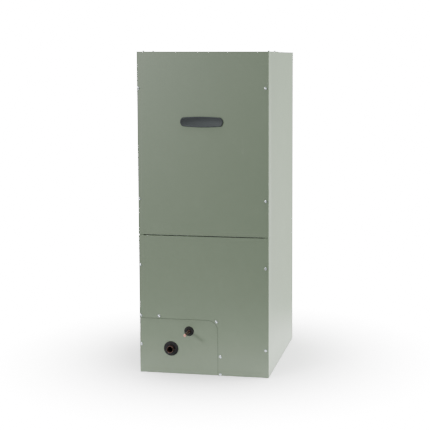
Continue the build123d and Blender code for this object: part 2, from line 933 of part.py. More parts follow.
# Coil cap: sheet folded over the two slab tops, with a flange down each outer face
cap_edge_x, cap_edge_z = slab_spot(slab_length, plate_across)
cap_foot_x, cap_foot_z = slab_spot(slab_length - cap_flange, plate_across)
with BuildPart() as coil_top_cap:
    with BuildSketch(Plane.XZ.offset(-slab_front_y + tube_sheet)):
        folded_profile(
            [
                (-cap_foot_x, cap_foot_z),
                (-cap_edge_x, cap_edge_z),
                (cap_edge_x, cap_edge_z),
                (cap_foot_x, cap_foot_z),
            ],
            tube_sheet,
            Side.LEFT,
        )
    extrude(amount=-(slab_depth + 2 * tube_sheet))
coil_top_cap.part.label = "coil_top_cap"
export_step(coil_top_cap.part, "parts/coil_top_cap.step")


# Suction manifold: two headers along the slabs and a crossover, one bent tube with stubs and a branch
first_rung = ceil((suction_z + suction_radius - slab_foot_z) / cos(tilt) / tube_pitch)
manifold_corner_x = slab_spot_at_height(suction_z, 0)[0]
header_top_z = slab_spot((first_rung + manifold_stub_count - 1) * tube_pitch, 0)[1] + manifold_crown
header_top_x = slab_spot_at_height(header_top_z, 0)[0]
with BuildPart() as suction_manifold:
    with BuildLine():
        Polyline(
            *bent_route(
                [
                    (-header_top_x, manifold_y, header_top_z),
                    (-manifold_corner_x, manifold_y, suction_z),
                    (manifold_corner_x, manifold_y, suction_z),
                    (header_top_x, manifold_y, header_top_z),
                ],
                manifold_bend_setback,
            )
        )
    with BuildSketch(
        Plane(
            origin=(-header_top_x, manifold_y, header_top_z),
            z_dir=(-sin(tilt), 0, -cos(tilt)),
            x_dir=(0, 1, 0),
        )
    ):
        RegularPolygon(suction_radius, tube_sides)
    sweep(transition=Transition.RIGHT)
    with BuildSketch(Plane.XZ.offset(-manifold_y)):
        with Locations((suction_x, suction_z)):
            RegularPolygon(suction_radius, tube_sides)
    extrude(amount=manifold_branch)
    with BuildSketch(Plane.XZ.offset(-manifold_y)):
        for i in range(manifold_stub_count):
            stub_x, stub_z = slab_spot((first_rung + i) * tube_pitch, 0)
            with Locations((stub_x, stub_z), (-stub_x, stub_z)):
                RegularPolygon(tube_radius, hex_sides)
    extrude(amount=manifold_y - slab_front_y + tube_sheet)
suction_manifold.part.label = "suction_manifold"
export_step(suction_manifold.part, "parts/suction_manifold.step")


# Suction line: straight tube to the front with a swaged bell for the line set
suction_end_y = front_y - suction_proud
branch_end_y = manifold_y - manifold_branch
bell_back_y = suction_end_y + suction_bell_length
suction_axis = Plane(origin=(suction_x, suction_end_y, suction_z), x_dir=(1, 0, 0), z_dir=(0, 1, 0))
with BuildPart() as suction_line:
    with BuildSketch(suction_axis.offset(suction_bell_length)):
        RegularPolygon(suction_radius, tube_sides)
    extrude(amount=branch_end_y - bell_back_y)
    with BuildSketch(suction_axis):
        RegularPolygon(suction_bell_radius, 2 * tube_sides)
    extrude(amount=suction_bell_length)
    with BuildSketch(suction_axis):
        Circle(suction_bell_bore)
    extrude(amount=suction_bell_depth, mode=Mode.SUBTRACT)
    with BuildSketch(suction_axis):
        RegularPolygon(suction_radius - suction_wall, tube_sides)
    extrude(amount=2 * suction_bell_depth, mode=Mode.SUBTRACT)
suction_line.part.label = "suction_line"
export_step(suction_line.part, "parts/suction_line.step")


# Liquid line: closed stub in a swaged bell, then a bent tube across to the metering valve
liquid_end_y = front_y - liquid_proud
liquid_bell_front = front_y - liquid_bell_proud
liquid_axis = Plane(origin=(liquid_x, liquid_end_y, liquid_z), x_dir=(1, 0, 0), z_dir=(0, 1, 0))
with BuildPart() as liquid_line:
    with BuildLine():
        Polyline(
            *bent_route(
                [
                    (liquid_x, liquid_bell_front + liquid_bell_length, liquid_z),
                    (liquid_x, manifold_y, liquid_z),
                    (valve_x, manifold_y, liquid_z),
                    (valve_x, manifold_y, liquid_z + valve_lift),
                ],
                liquid_bend_setback,
            )
        )
    with BuildSketch(liquid_axis.offset(liquid_bell_front + liquid_bell_length - liquid_end_y)):
        RegularPolygon(liquid_radius, tube_sides)
    sweep(transition=Transition.RIGHT)
    with BuildSketch(liquid_axis):
        Circle(liquid_radius)
    extrude(amount=liquid_bell_front - liquid_end_y)
    with BuildSketch(liquid_axis.offset(liquid_bell_front - liquid_end_y)):
        Circle(liquid_bell_radius)
    extrude(amount=liquid_bell_length)
liquid_line.part.label = "liquid_line"
export_step(liquid_line.part, "parts/liquid_line.step")


# Metering valve: brass body between two hex nuts
valve_foot_z = liquid_z + valve_lift
valve_base = Plane(origin=(valve_x, manifold_y, valve_foot_z), z_dir=(0, 0, 1))
with BuildPart() as metering_valve:
    with BuildSketch(valve_base):
        RegularPolygon(valve_body_radius, tube_sides)
    extrude(amount=valve_length)
    with BuildSketch(valve_base, valve_base.offset(valve_length - valve_nut_height)):
        RegularPolygon(valve_nut_radius, hex_sides)
    extrude(amount=valve_nut_height)
metering_valve.part.label = "metering_valve"
export_step(metering_valve.part, "parts/metering_valve.step")

distributor_foot_z = valve_foot_z + valve_length
distributor_base = Plane(origin=(valve_x, manifold_y, distributor_foot_z), z_dir=(0, 0, 1))
with BuildPart() as distributor:
    for radius, start, length in (
        (distributor_foot_radius, 0, distributor_length - distributor_head_length),
        (distributor_head_radius, distributor_length - distributor_head_length, distributor_head_length),
    ):
        with BuildSketch(distributor_base.offset(start)):
            RegularPolygon(radius, tube_sides)
        extrude(amount=length)
distributor.part.label = "distributor"
export_step(distributor.part, "parts/distributor.step")


# Feeder tubes: two to each slab, up from the distributor and back into the tube sheets
feeder_foot_z = distributor_foot_z + distributor_length
feeder_back_y = slab_front_y - tube_sheet
with BuildPart() as feeder_tubes:
    for side_x in (-1, 1):
        for side_y, share in ((1, feeder_low_share), (-1, feeder_high_share)):
            start_x = valve_x + side_x * feeder_circle
            start_y = manifold_y + side_y * feeder_circle
            end_x, end_z = slab_spot(share * slab_length, -plate_across + tube_sheet_edge + feeder_radius)
            with BuildLine() as route:
                Polyline(
                    (start_x, start_y, feeder_foot_z),
                    (start_x, start_y, feeder_foot_z + feeder_rise),
                    (side_x * end_x, start_y, end_z),
                    (side_x * end_x, feeder_back_y, end_z),
                )
            with BuildSketch(Plane(origin=(start_x, start_y, feeder_foot_z), z_dir=(0, 0, 1))):
                RegularPolygon(feeder_radius, hex_sides)
            sweep(path=route.wire(), transition=Transition.RIGHT)
feeder_tubes.part.label = "feeder_tubes"
export_step(feeder_tubes.part, "parts/feeder_tubes.step")


# Piping panel: flat sheet with a side flange and one rounded corner, its rim behind the door's notch
with BuildPart() as piping_panel:
    with BuildSketch(piping_plane):
        with Locations((-half_width, 0)):
            Rectangle(notch_width, notch_height - seat_gap, align=(Align.MIN, Align.MIN))
        with Locations((-jamb_side_x, 0)):
            Rectangle(
                notch_right_x + notch_rim + jamb_side_x,
                notch_height + notch_rim,
                align=(Align.MIN, Align.MIN),
            )
    extrude(amount=-sheet)
    fillet(
        piping_panel.edges().filter_by(Axis.Y).group_by(Axis.Z)[-1].group_by(Axis.X)[-1],
        radius=notch_radius + notch_rim,
    )
    with BuildSketch(piping_plane):
        with Locations((-half_width, 0)):
            Rectangle(sheet, notch_height - seat_gap, align=(Align.MIN, Align.MIN))
    extrude(amount=-(door_return - sheet - seat_gap))
    with BuildSketch(piping_plane):
        with Locations((liquid_x, liquid_z)):
            RegularPolygon(liquid_hole_radius, grommet_sides)
        with Locations((suction_x, suction_z)):
            RegularPolygon(suction_hole_radius, grommet_sides)
    extrude(amount=-sheet, mode=Mode.SUBTRACT)
    drill_screw_holes(piping_plane, lower_screw_spots + piping_screw_spots)
piping_panel.part.label = "piping_panel"
export_step(piping_panel.part, "parts/piping_panel.step")


def grommet(x, z, lip_radius, neck_radius, bore_radius):
    """Rubber grommet seated in a hole of the piping panel, with a lip on each face of the sheet."""
    with BuildPart() as ring:
        for back, front, radius in (
            (piping_front_y, piping_front_y - grommet_lip, lip_radius),
            (piping_front_y + sheet, piping_front_y, neck_radius),
            (piping_front_y + sheet + grommet_back_lip, piping_front_y + sheet, lip_radius),
        ):
            with BuildSketch(Plane.XZ.offset(-back)):
                with Locations((x, z)):
                    RegularPolygon(radius, grommet_sides)
                    RegularPolygon(bore_radius, grommet_sides, major_radius=False, mode=Mode.SUBTRACT)
            extrude(amount=back - front)
    return ring


liquid_grommet = grommet(
    liquid_x,
    liquid_z,
    liquid_grommet_radius,
    liquid_hole_radius,
    liquid_bell_radius + grommet_slide_gap,
)
liquid_grommet.part.label = "liquid_grommet"
export_step(liquid_grommet.part, "parts/liquid_grommet.step")

suction_grommet = grommet(
    suction_x,
    suction_z,
    suction_grommet_radius,
    suction_hole_radius,
    suction_bell_radius + grommet_slide_gap,
)
suction_grommet.part.label = "suction_grommet"
export_step(suction_grommet.part, "parts/suction_grommet.step")

piping_panel_screw = hex_screws(piping_plane, piping_screw_spots)
piping_panel_screw.part.label = "piping_panel_screw"
export_step(piping_panel_screw.part, "parts/piping_panel_screw.step")


# Doors: a tray section across the cabinet with a hem along the slot between the two
def door(low, high, hem_z):
    """Door sheet wrapped round the cabinet's sides, with one hem between the jambs."""
    with BuildPart() as panel:
        with BuildSketch(Plane.XY.offset(low)):
            folded_profile(
                [
                    (-half_width, front_y + door_return),
                    (-half_width, front_y),
                    (half_width, front_y),
                    (half_width, front_y + door_return),
                ],
                sheet,
                Side.LEFT,
            )
        extrude(amount=high - low)
        with BuildSketch(Plane.XY.offset(hem_z)):
            with Locations((0, front_y)):
                Rectangle(2 * (opening_half - door_hem_clearance), door_hem, align=(Align.CENTER, Align.MIN))
        extrude(amount=sheet)
    return panel


door_top = side_top - seat_gap
upper_door_low = door_split + door_slot / 2
lower_door_high = door_split - door_slot / 2
with BuildPart() as upper_panel:
    add(door(upper_door_low, door_top, upper_door_low).part)
    drill_screw_holes(front_plane, upper_screw_spots)
upper_panel.part.label = "upper_panel"
export_step(upper_panel.part, "parts/upper_panel.step")

with BuildPart() as lower_panel:
    add(door(0, lower_door_high, lower_door_high - sheet).part)
    with BuildSketch(front_plane):
        with Locations((-half_width, 0)):
            Rectangle(notch_width, notch_height, align=(Align.MIN, Align.MIN))
        with Locations((notch_right_x, notch_height)):
            Rectangle(notch_radius, notch_radius, align=(Align.MAX, Align.MAX), mode=Mode.SUBTRACT)
        with Locations((notch_centre_x, notch_centre_z)):
            Circle(notch_radius)
    extrude(amount=-(door_return + seat_gap), mode=Mode.SUBTRACT)
    drill_screw_holes(front_plane, lower_screw_spots)
lower_panel.part.label = "lower_panel"
export_step(lower_panel.part, "parts/lower_panel.step")

upper_panel_screws = hex_screws(front_plane, upper_screw_spots)
upper_panel_screws.part.label = "upper_panel_screws"
export_step(upper_panel_screws.part, "parts/upper_panel_screws.step")

lower_panel_screws = hex_screws(front_plane, lower_screw_spots)
lower_panel_screws.part.label = "lower_panel_screws"
export_step(lower_panel_screws.part, "parts/lower_panel_screws.step")


# Door insulation, kept inside the rails and clear of the piping panel's rim
insulation_half = opening_half - door_insulation_margin
upper_insulation_low = door_split + centre_rail_height / 2 + door_insulation_margin
upper_insulation_high = side_top - top_rail_height - door_insulation_margin
lower_insulation_high = door_split - centre_rail_height / 2 - door_insulation_margin
insulation_step_x = notch_right_x + notch_rim + door_insulation_margin
insulation_step_z = notch_height + notch_rim + door_insulation_margin
with BuildPart() as upper_insulation:
    with BuildSketch(Plane.XZ.offset(-front_y - sheet)):
        with Locations((0, upper_insulation_low)):
            Rectangle(
                2 * insulation_half,
                upper_insulation_high - upper_insulation_low,
                align=(Align.CENTER, Align.MIN),
            )
    extrude(amount=-door_insulation)
upper_insulation.part.label = "upper_insulation"
export_step(upper_insulation.part, "parts/upper_insulation.step")

with BuildPart() as lower_insulation:
    with BuildSketch(Plane.XZ.offset(-front_y - sheet)):
        Polygon(
            (insulation_half, base_flange),
            (insulation_half, lower_insulation_high),
            (-insulation_half, lower_insulation_high),
            (-insulation_half, insulation_step_z),
            (insulation_step_x, insulation_step_z),
            (insulation_step_x, base_flange),
        )
    extrude(amount=-door_insulation)
lower_insulation.part.label = "lower_insulation"
export_step(lower_insulation.part, "parts/lower_insulation.step")


# Badge plate: bare capsule with slightly bulging long sides
badge_end = badge_width / 2 - badge_height / 4
badge_side = badge_height / 2 - badge_bulge
badge_corners = [
    (badge_x + hand_x * badge_end, badge_z + hand_z * badge_side)
    for hand_x, hand_z in ((-1, 1), (1, 1), (1, -1), (-1, -1))
]
with BuildPart() as badge_plate:
    with BuildSketch(front_plane):
        with BuildLine():
            ThreePointArc(badge_corners[0], (badge_x, badge_z + badge_height / 2), badge_corners[1])
            ThreePointArc(badge_corners[1], (badge_x + badge_width / 2, badge_z), badge_corners[2])
            ThreePointArc(badge_corners[2], (badge_x, badge_z - badge_height / 2), badge_corners[3])
            ThreePointArc(badge_corners[3], (badge_x - badge_width / 2, badge_z), badge_corners[0])
        make_face()
    extrude(amount=badge_thickness)
badge_plate.part.label = "badge_plate"
export_step(badge_plate.part, "parts/badge_plate.step")


# Control bulkhead: upright sheet above the deck with the electric-heat opening
tray_left_x = liner_half - tray_side_gap - tray_width
heater_left_x = heater_side_gap - liner_half
heater_width = tray_left_x - heater_tray_gap - heater_left_x
bulkhead_low = deck_z + sheet + bulkhead_clearance
bulkhead_plane = Plane.XZ.offset(-bulkhead_y)
heater_low = bulkhead_low + heater_base_gap
with BuildPart() as control_bulkhead:
    with BuildSketch(Plane.YZ.offset(-liner_half)):
        folded_profile(
            [
                (bulkhead_y, bulkhead_low),
                (bulkhead_y, side_top - sheet),
                (bulkhead_y + bulkhead_flange, side_top - sheet),
            ],
            sheet,
            Side.RIGHT,
        )
    extrude(amount=2 * liner_half)
    with BuildSketch(bulkhead_plane):
        with Locations((heater_left_x, heater_low)):
            Rectangle(heater_width, heater_height, align=(Align.MIN, Align.MIN))
    extrude(amount=-sheet, mode=Mode.SUBTRACT)
control_bulkhead.part.label = "control_bulkhead"
export_step(control_bulkhead.part, "parts/control_bulkhead.step")

with BuildPart() as heater_blank_plate:
    with BuildSketch(bulkhead_plane):
        with Locations((heater_left_x - heater_plate_margin, heater_low - heater_plate_margin)):
            Rectangle(
                heater_width + 2 * heater_plate_margin,
                heater_height + 2 * heater_plate_margin,
                align=(Align.MIN, Align.MIN),
            )
    extrude(amount=sheet)
heater_blank_plate.part.label = "heater_blank_plate"
export_step(heater_blank_plate.part, "parts/heater_blank_plate.step")


# Control tray on the bulkhead, with its parts
tray_low = bulkhead_low + tray_base_gap
tray_right_x = tray_left_x + tray_width
tray_high = tray_low + tray_height
tray_face = Plane.XZ.offset(-bulkhead_y + sheet)
with BuildPart() as control_box:
    with BuildSketch(Plane.XY.offset(tray_low)):
        folded_profile(
            [
                (tray_left_x, bulkhead_y - tray_depth),
                (tray_left_x, bulkhead_y),
                (tray_right_x, bulkhead_y),
                (tray_right_x, bulkhead_y - tray_depth),
            ],
            sheet,
            Side.RIGHT,
        )
    extrude(amount=tray_height)
    with BuildSketch(bulkhead_plane):
        with Locations((tray_left_x, tray_low), (tray_left_x, tray_high - sheet)):
            Rectangle(tray_width, sheet, align=(Align.MIN, Align.MIN))
    extrude(amount=tray_depth)
control_box.part.label = "control_box"
export_step(control_box.part, "parts/control_box.step")

board_x = tray_left_x + sheet + board_inset + board_width / 2
board_z = tray_high - board_inset - board_height / 2
with BuildPart() as control_board:
    with BuildSketch(tray_face):
        with Locations((board_x, board_z)):
            with GridLocations(board_width - board_inset, board_height - board_inset, 2, 2):
                RegularPolygon(board_standoff_radius, hex_sides)
    extrude(amount=board_standoff)
    with BuildSketch(tray_face.offset(board_standoff)):
        with Locations((board_x, board_z)):
            Rectangle(board_width, board_height)
    extrude(amount=board_thickness)
    with BuildSketch(tray_face.offset(board_standoff + board_thickness)):
        with Locations((board_x, board_z)):
            with GridLocations(relay_length + board_inset, 0, 3, 1):
                Rectangle(relay_width, relay_length)
    extrude(amount=relay_height)
    with BuildSketch(tray_face.offset(board_standoff + board_thickness)):
        with Locations((board_x, board_z - board_height / 2 + strip_height)):
            Rectangle(strip_width, strip_height)
    extrude(amount=strip_depth)
control_board.part.label = "control_board"
export_step(control_board.part, "parts/control_board.step")

transformer_x = tray_left_x + sheet + board_inset + transformer_width / 2
transformer_z = tray_low + sheet + board_inset / 2 + transformer_height / 2
with BuildPart() as transformer:
    with BuildSketch(tray_face):
        with Locations((transformer_x, transformer_z)):
            Rectangle(transformer_width, transformer_height)
            Rectangle(transformer_width + 2 * transformer_foot, transformer_height / 2)
    extrude(amount=sheet)
    with BuildSketch(tray_face.offset(sheet)):
        with Locations((transformer_x, transformer_z)):
            Rectangle(transformer_width, transformer_height)
    extrude(amount=transformer_core_depth)
    with BuildSketch(tray_face.offset(sheet)):
        with Locations((transformer_x, transformer_z)):
            Rectangle(transformer_coil_width, transformer_height - 2 * sheet)
    extrude(amount=transformer_coil_depth)
transformer.part.label = "transformer"
export_step(transformer.part, "parts/transformer.step")

block_x = tray_right_x - sheet - board_inset / 2 - block_width / 2
block_z = tray_low + sheet + board_inset / 2 + block_height / 2
with BuildPart() as terminal_block:
    with BuildSketch(tray_face):
        with Locations((block_x, block_z)):
            Rectangle(block_width, block_height)
    extrude(amount=block_depth)
    with BuildSketch(tray_face.offset(block_depth)):
        with Locations((block_x, block_z)):
            with GridLocations((block_width - block_rib) / 2, 0, 3, 1):
                Rectangle(block_rib, block_height)
    extrude(amount=block_rib_rise)
terminal_block.part.label = "terminal_block"
export_step(terminal_block.part, "parts/terminal_block.step")

relay_x = tray_right_x - sheet - board_inset / 2 - contactor_width / 2
relay_z = block_z + block_height / 2 + board_inset + contactor_height / 2
with BuildPart() as relay:
    with BuildSketch(tray_face):
        with Locations((relay_x, relay_z)):
            Rectangle(contactor_width, contactor_height)
    extrude(amount=contactor_depth)
    with BuildSketch(tray_face.offset(contactor_depth)):
        with Locations((relay_x, relay_z)):
            with GridLocations(contactor_width / 2, contactor_height / 2, 2, 2):
                Rectangle(block_rib, block_rib * 2)
    extrude(amount=block_rib_rise)
relay.part.label = "relay"
export_step(relay.part, "parts/relay.step")


# Control wiring: leads from the transformer to the board and from the terminal block to the relay
def tray_point(x, z, rise):
    """Place in front of the tray's face."""
    return (x, bulkhead_y - sheet - rise, z)


wire_routes = [
    [
        tray_point(transformer_x - transformer_foot, transformer_z + transformer_height / 2, wire_rise),
        tray_point(transformer_x - transformer_foot, board_z - board_height / 2 - wire_rise, wire_rise),
        tray_point(board_x - strip_width / 4, board_z - board_height / 2 - wire_rise, wire_rise),
        tray_point(board_x - strip_width / 4, board_z - board_height / 2 + strip_height / 2, wire_rise),
    ],
    [
        tray_point(block_x, block_z + block_height / 2, wire_rise),
        tray_point(block_x, relay_z - contactor_height / 2, wire_rise),
    ],
]
with BuildPart() as control_wiring:
    for points in wire_routes:
        with BuildLine() as route:
            Polyline(*bent_route(points, wire_bend_setback))
        with BuildSketch(Plane(origin=points[0], z_dir=(0, 0, 1))):
            RegularPolygon(wire_radius, hex_sides)
        sweep(path=route.wire(), transition=Transition.RIGHT)
control_wiring.part.label = "control_wiring"
export_step(control_wiring.part, "parts/control_wiring.step")


# Blower rails: an angle on each side that carries an edge of the deck
blower_rail_z = deck_z - seat_gap
deck_front = front_y + deck_front_inset
with BuildPart() as blower_rails:
    for side_x, hand in ((1, Side.LEFT), (-1, Side.RIGHT)):
        with BuildSketch(Plane.XZ.offset(-deck_front)):
            folded_profile(
                [
                    (side_x * liner_half, blower_rail_z - blower_rail_drop),
                    (side_x * liner_half, blower_rail_z),
                    (side_x * (liner_half - blower_rail_width), blower_rail_z),
                ],
                pan_rail_sheet,
                hand,
            )
        extrude(amount=-(back_y - 2 * sheet - liner_thickness - deck_front))
blower_rails.part.label = "blower_rails"
export_step(blower_rails.part, "parts/blower_rails.step")


# Scroll: arcs about four centres, each a step larger than the last, from the cutoff round to the back wall
front_centre = (blower_y - scroll_step / 2, blower_z - scroll_step / 2)
bottom_centre = (blower_y + scroll_step / 2, blower_z - scroll_step / 2)
back_centre = (blower_y + scroll_step / 2, blower_z + scroll_step / 2)
scroll_plane = Plane.YZ.offset(-scroll_width / 2)


def scroll_line(growth):
    """Scroll from the lip's top down to the cutoff, round the wheel and up the back wall, grown outward."""
    front_arc = CenterArc(front_centre, scroll_start_radius + growth, cutoff_angle, 180 - cutoff_angle)
    CenterArc(bottom_centre, scroll_start_radius + scroll_step + growth, 180, 90)
    back_arc = CenterArc(back_centre, scroll_start_radius + 2 * scroll_step + growth, 270, 90)
    lip = Line((front_arc.position_at(0).X, deck_z), front_arc @ 0)
    back_wall = Line(back_arc @ 1, (back_arc.position_at(1).X, deck_z))
    return lip, back_wall


with BuildPart() as scroll_wrapper:
    with BuildSketch(scroll_plane):
        with BuildLine():
            scroll_line(0)
            offset(amount=sheet, side=Side.LEFT, kind=Kind.INTERSECTION)
        make_face()
    extrude(amount=scroll_width)
scroll_wrapper.part.label = "scroll_wrapper"
export_step(scroll_wrapper.part, "parts/scroll_wrapper.step")


def scroll_side(side_x):
    """Side plate of the scroll with a spun inlet ring and a flange under the deck."""
    inner_x = side_x * scroll_width / 2
    with BuildPart() as plate:
        with BuildSketch(Plane.YZ.offset(inner_x)):
            with BuildLine():
                lip, back_wall = scroll_line(scroll_edge)
                Line(back_wall @ 1, lip @ 0)
            make_face()
        extrude(amount=side_x * sheet)
        outer_x = inner_x + side_x * sheet
        for wall, how in ((sheet, Mode.ADD), (0, Mode.SUBTRACT)):
            with BuildSketch(Plane.YZ.offset(outer_x)):
                with Locations((blower_y, blower_z)):
                    RegularPolygon(throat_radius + bell_reach + wall, ring_sides)
            with BuildSketch(Plane.YZ.offset(outer_x - side_x * bell_reach)):
                with Locations((blower_y, blower_z)):
                    RegularPolygon(throat_radius + wall, ring_sides)
            loft(ruled=True, mode=how)
        with BuildSketch(Plane.XY.offset(deck_z)):
            with Locations((inner_x, (lip @ 0).X)):
                Rectangle(
                    scroll_flange,
                    (back_wall @ 1).X - (lip @ 0).X,
                    align=(Align.MIN if side_x > 0 else Align.MAX, Align.MIN),
                )
        extrude(amount=-sheet)
    return plate


scroll_side_left = scroll_side(-1)
scroll_side_left.part.label = "scroll_side_left"
export_step(scroll_side_left.part, "parts/scroll_side_left.step")

scroll_side_right = scroll_side(1)
scroll_side_right.part.label = "scroll_side_right"
export_step(scroll_side_right.part, "parts/scroll_side_right.step")


# Blower deck: sheet on the rails with the discharge opening and an upturned front lip
outlet_front_y = front_centre[0] + scroll_start_radius * cos(radians(cutoff_angle)) + sheet
outlet_back_y = back_centre[0] + scroll_start_radius + 2 * scroll_step - sheet
deck_half = opening_half - deck_side_gap
deck_back = back_y - deck_back_inset
with BuildPart() as blower_deck:
    with BuildSketch(Plane.XY.offset(deck_z)):
        with Locations((0, deck_front)):
            Rectangle(2 * deck_half, deck_back - deck_front, align=(Align.CENTER, Align.MIN))
        with Locations((0, outlet_front_y)):
            Rectangle(
                scroll_width,
                outlet_back_y - outlet_front_y,
                align=(Align.CENTER, Align.MIN),
                mode=Mode.SUBTRACT,
            )
    extrude(amount=sheet)
    with BuildSketch(Plane.XY.offset(deck_z + sheet)):
        with Locations((0, deck_front)):
            Rectangle(2 * deck_half, sheet, align=(Align.CENTER, Align.MIN))
    extrude(amount=deck_lip)
blower_deck.part.label = "blower_deck"
export_step(blower_deck.part, "parts/blower_deck.step")


# Blower wheel: forward-curved blades through a centre disc, tied by a ring at each end
blade_root = Vector(blade_inner_radius, 0)
blade_tip = Vector(wheel_radius * cos(radians(blade_lead)), wheel_radius * sin(radians(blade_lead)))
blade_chord = blade_tip - blade_root
blade_back = Vector(blade_chord.Y, -blade_chord.X).normalized()
blade_middle = (blade_root + blade_tip) / 2 + blade_back * blade_sagitta
blade_front = -blade_back
with BuildSketch() as blade_form:
    Polygon(
        blade_root,
        blade_middle,
        blade_tip,
        blade_tip + blade_front * blade_sheet,
        blade_middle + blade_front * blade_sheet,
        blade_root + blade_front * blade_sheet,
    )

with BuildPart() as wheel_blades:
    with BuildSketch(Plane.YZ.offset(end_ring_width - wheel_width / 2)):
        with Locations((blower_y, blower_z)):
            with PolarLocations(0, blade_count):
                add(blade_form.sketch)
    extrude(amount=wheel_width - 2 * end_ring_width)

with BuildPart() as wheel_rings:
    with BuildSketch(
        Plane.YZ.offset(-wheel_width / 2), Plane.YZ.offset(wheel_width / 2 - end_ring_width)
    ):
        with Locations((blower_y, blower_z)):
            RegularPolygon(wheel_radius, blade_count)
            RegularPolygon(end_ring_inner_radius, blade_count, mode=Mode.SUBTRACT)
    extrude(amount=end_ring_width)

with BuildPart() as wheel_disc:
    with BuildSketch(Plane.YZ.offset(-disc_sheet / 2)):
        with Locations((blower_y, blower_z)):
            RegularPolygon(wheel_radius, blade_count)
            RegularPolygon(hub_radius, hub_sides, mode=Mode.SUBTRACT)
            with PolarLocations(0, blade_count):
                add(blade_form.sketch, mode=Mode.SUBTRACT)
    extrude(amount=disc_sheet)

blower_wheel = Compound(
    wheel_blades.part.solids() + wheel_rings.part.solids() + wheel_disc.part.solids()
)
blower_wheel.label = "blower_wheel"
export_step(blower_wheel, "parts/blower_wheel.step")

with BuildPart() as wheel_hub:
    with BuildSketch(Plane.YZ.offset(-hub_reach)):
        with Locations((blower_y, blower_z)):
            RegularPolygon(hub_radius, hub_sides)
    extrude(amount=hub_length)
    with BuildSketch(Plane.YZ.offset(-disc_sheet / 2)):
        with Locations((blower_y, blower_z)):
            RegularPolygon(hub_flange_radius, hub_sides)
    extrude(amount=-hub_flange_sheet)
    with BuildSketch(Plane.YZ.offset(-hub_reach)):
        with Locations((blower_y, blower_z)):
            RegularPolygon(shaft_radius, hub_sides)
    extrude(amount=hub_length, mode=Mode.SUBTRACT)
wheel_hub.part.label = "wheel_hub"
export_step(wheel_hub.part, "parts/wheel_hub.step")

with BuildPart() as motor_shaft:
    with BuildSketch(Plane.YZ.offset(shaft_left_x)):
        with Locations((blower_y, blower_z)):
            RegularPolygon(shaft_radius, hub_sides)
    extrude(amount=motor_left_x + shaft_engagement - shaft_left_x)
motor_shaft.part.label = "motor_shaft"
export_step(motor_shaft.part, "parts/motor_shaft.step")


# Motor: cylindrical shell with stepped end bells, vent slots behind and a bore for the shaft
motor_body_x = motor_left_x + motor_boss_length + motor_end_depth
motor_back_x = motor_body_x + motor_length
with BuildPart() as motor:
    for start_x, length, radius in (
        (motor_left_x, motor_boss_length, motor_boss_radius),
        (motor_left_x + motor_boss_length, motor_end_depth, motor_end_radius),
        (motor_back_x, motor_end_depth, motor_end_radius),
    ):
        with BuildSketch(Plane.YZ.offset(start_x)):
            with Locations((blower_y, blower_z)):
                RegularPolygon(radius, motor_end_sides)
        extrude(amount=length)
    with BuildSketch(Plane.YZ.offset(motor_body_x)):
        with Locations((blower_y, blower_z)):
            RegularPolygon(motor_radius, band_sides, major_radius=False)
    extrude(amount=motor_length)
    with BuildSketch(Plane.YZ.offset(motor_left_x)):
        with Locations((blower_y, blower_z)):
            RegularPolygon(shaft_radius + shaft_gap, hub_sides, major_radius=False)
    extrude(amount=shaft_engagement, mode=Mode.SUBTRACT)
    with BuildSketch(Plane.YZ.offset(motor_back_x + motor_end_depth)):
        with Locations((blower_y, blower_z)):
            with PolarLocations(motor_slot_circle, motor_slot_count):
                Rectangle(motor_slot_length, motor_slot_width)
    extrude(amount=-motor_slot_depth, mode=Mode.SUBTRACT)
motor.part.label = "motor"
export_step(motor.part, "parts/motor.step")

with BuildPart() as motor_band:
    with BuildSketch(Plane.YZ.offset(band_right_x - band_width)):
        with Locations((blower_y, blower_z)):
            RegularPolygon(motor_radius + band_sheet, band_sides, major_radius=False)
            with Locations((0, motor_radius)):
                Rectangle(band_ear_gap + 2 * band_sheet, band_ear, align=(Align.CENTER, Align.MIN))
            RegularPolygon(motor_radius, band_sides, major_radius=False, mode=Mode.SUBTRACT)
            with Locations((0, motor_radius)):
                Rectangle(band_ear_gap, band_ear, align=(Align.CENTER, Align.MIN), mode=Mode.SUBTRACT)
    extrude(amount=band_width)
motor_band.part.label = "motor_band"
export_step(motor_band.part, "parts/motor_band.step")

arm_middle_radius = (arm_reach + motor_radius) / 2
with BuildPart() as motor_arms:
    with BuildSketch(Plane.YZ.offset(scroll_width / 2 + sheet)):
        with Locations((blower_y, blower_z)):
            with PolarLocations(arm_middle_radius, arm_count, start_angle=arm_turn):
                Rectangle(arm_reach - motor_radius, arm_width)
            RegularPolygon(
                motor_radius + band_sheet, band_sides, major_radius=False, mode=Mode.SUBTRACT
            )
    extrude(amount=arm_thickness)
motor_arms.part.label = "motor_arms"
export_step(motor_arms.part, "parts/motor_arms.step")


# Run capacitor: round can in a bracket on the left side plate, with two terminal posts
capacitor_x = -scroll_width / 2 - sheet - capacitor_bracket_sheet - capacitor_radius
capacitor_base = Plane(origin=(capacitor_x, capacitor_y, capacitor_z), z_dir=(0, 0, 1))
with BuildPart() as run_capacitor:
    with BuildSketch(capacitor_base):
        RegularPolygon(capacitor_radius, capacitor_sides)
        with Locations((capacitor_radius, 0)):
            Rectangle(capacitor_bracket_sheet, capacitor_radius, align=(Align.MIN, Align.CENTER))
            Rectangle(capacitor_radius / 4, capacitor_radius / 2, align=(Align.MAX, Align.CENTER))
    extrude(amount=capacitor_height)
    with BuildSketch(capacitor_base.offset(capacitor_height)):
        with GridLocations(capacitor_radius, 0, 2, 1):
            Rectangle(capacitor_post_width, capacitor_post)
    extrude(amount=capacitor_post)
run_capacitor.part.label = "run_capacitor"
export_step(run_capacitor.part, "parts/run_capacitor.step")


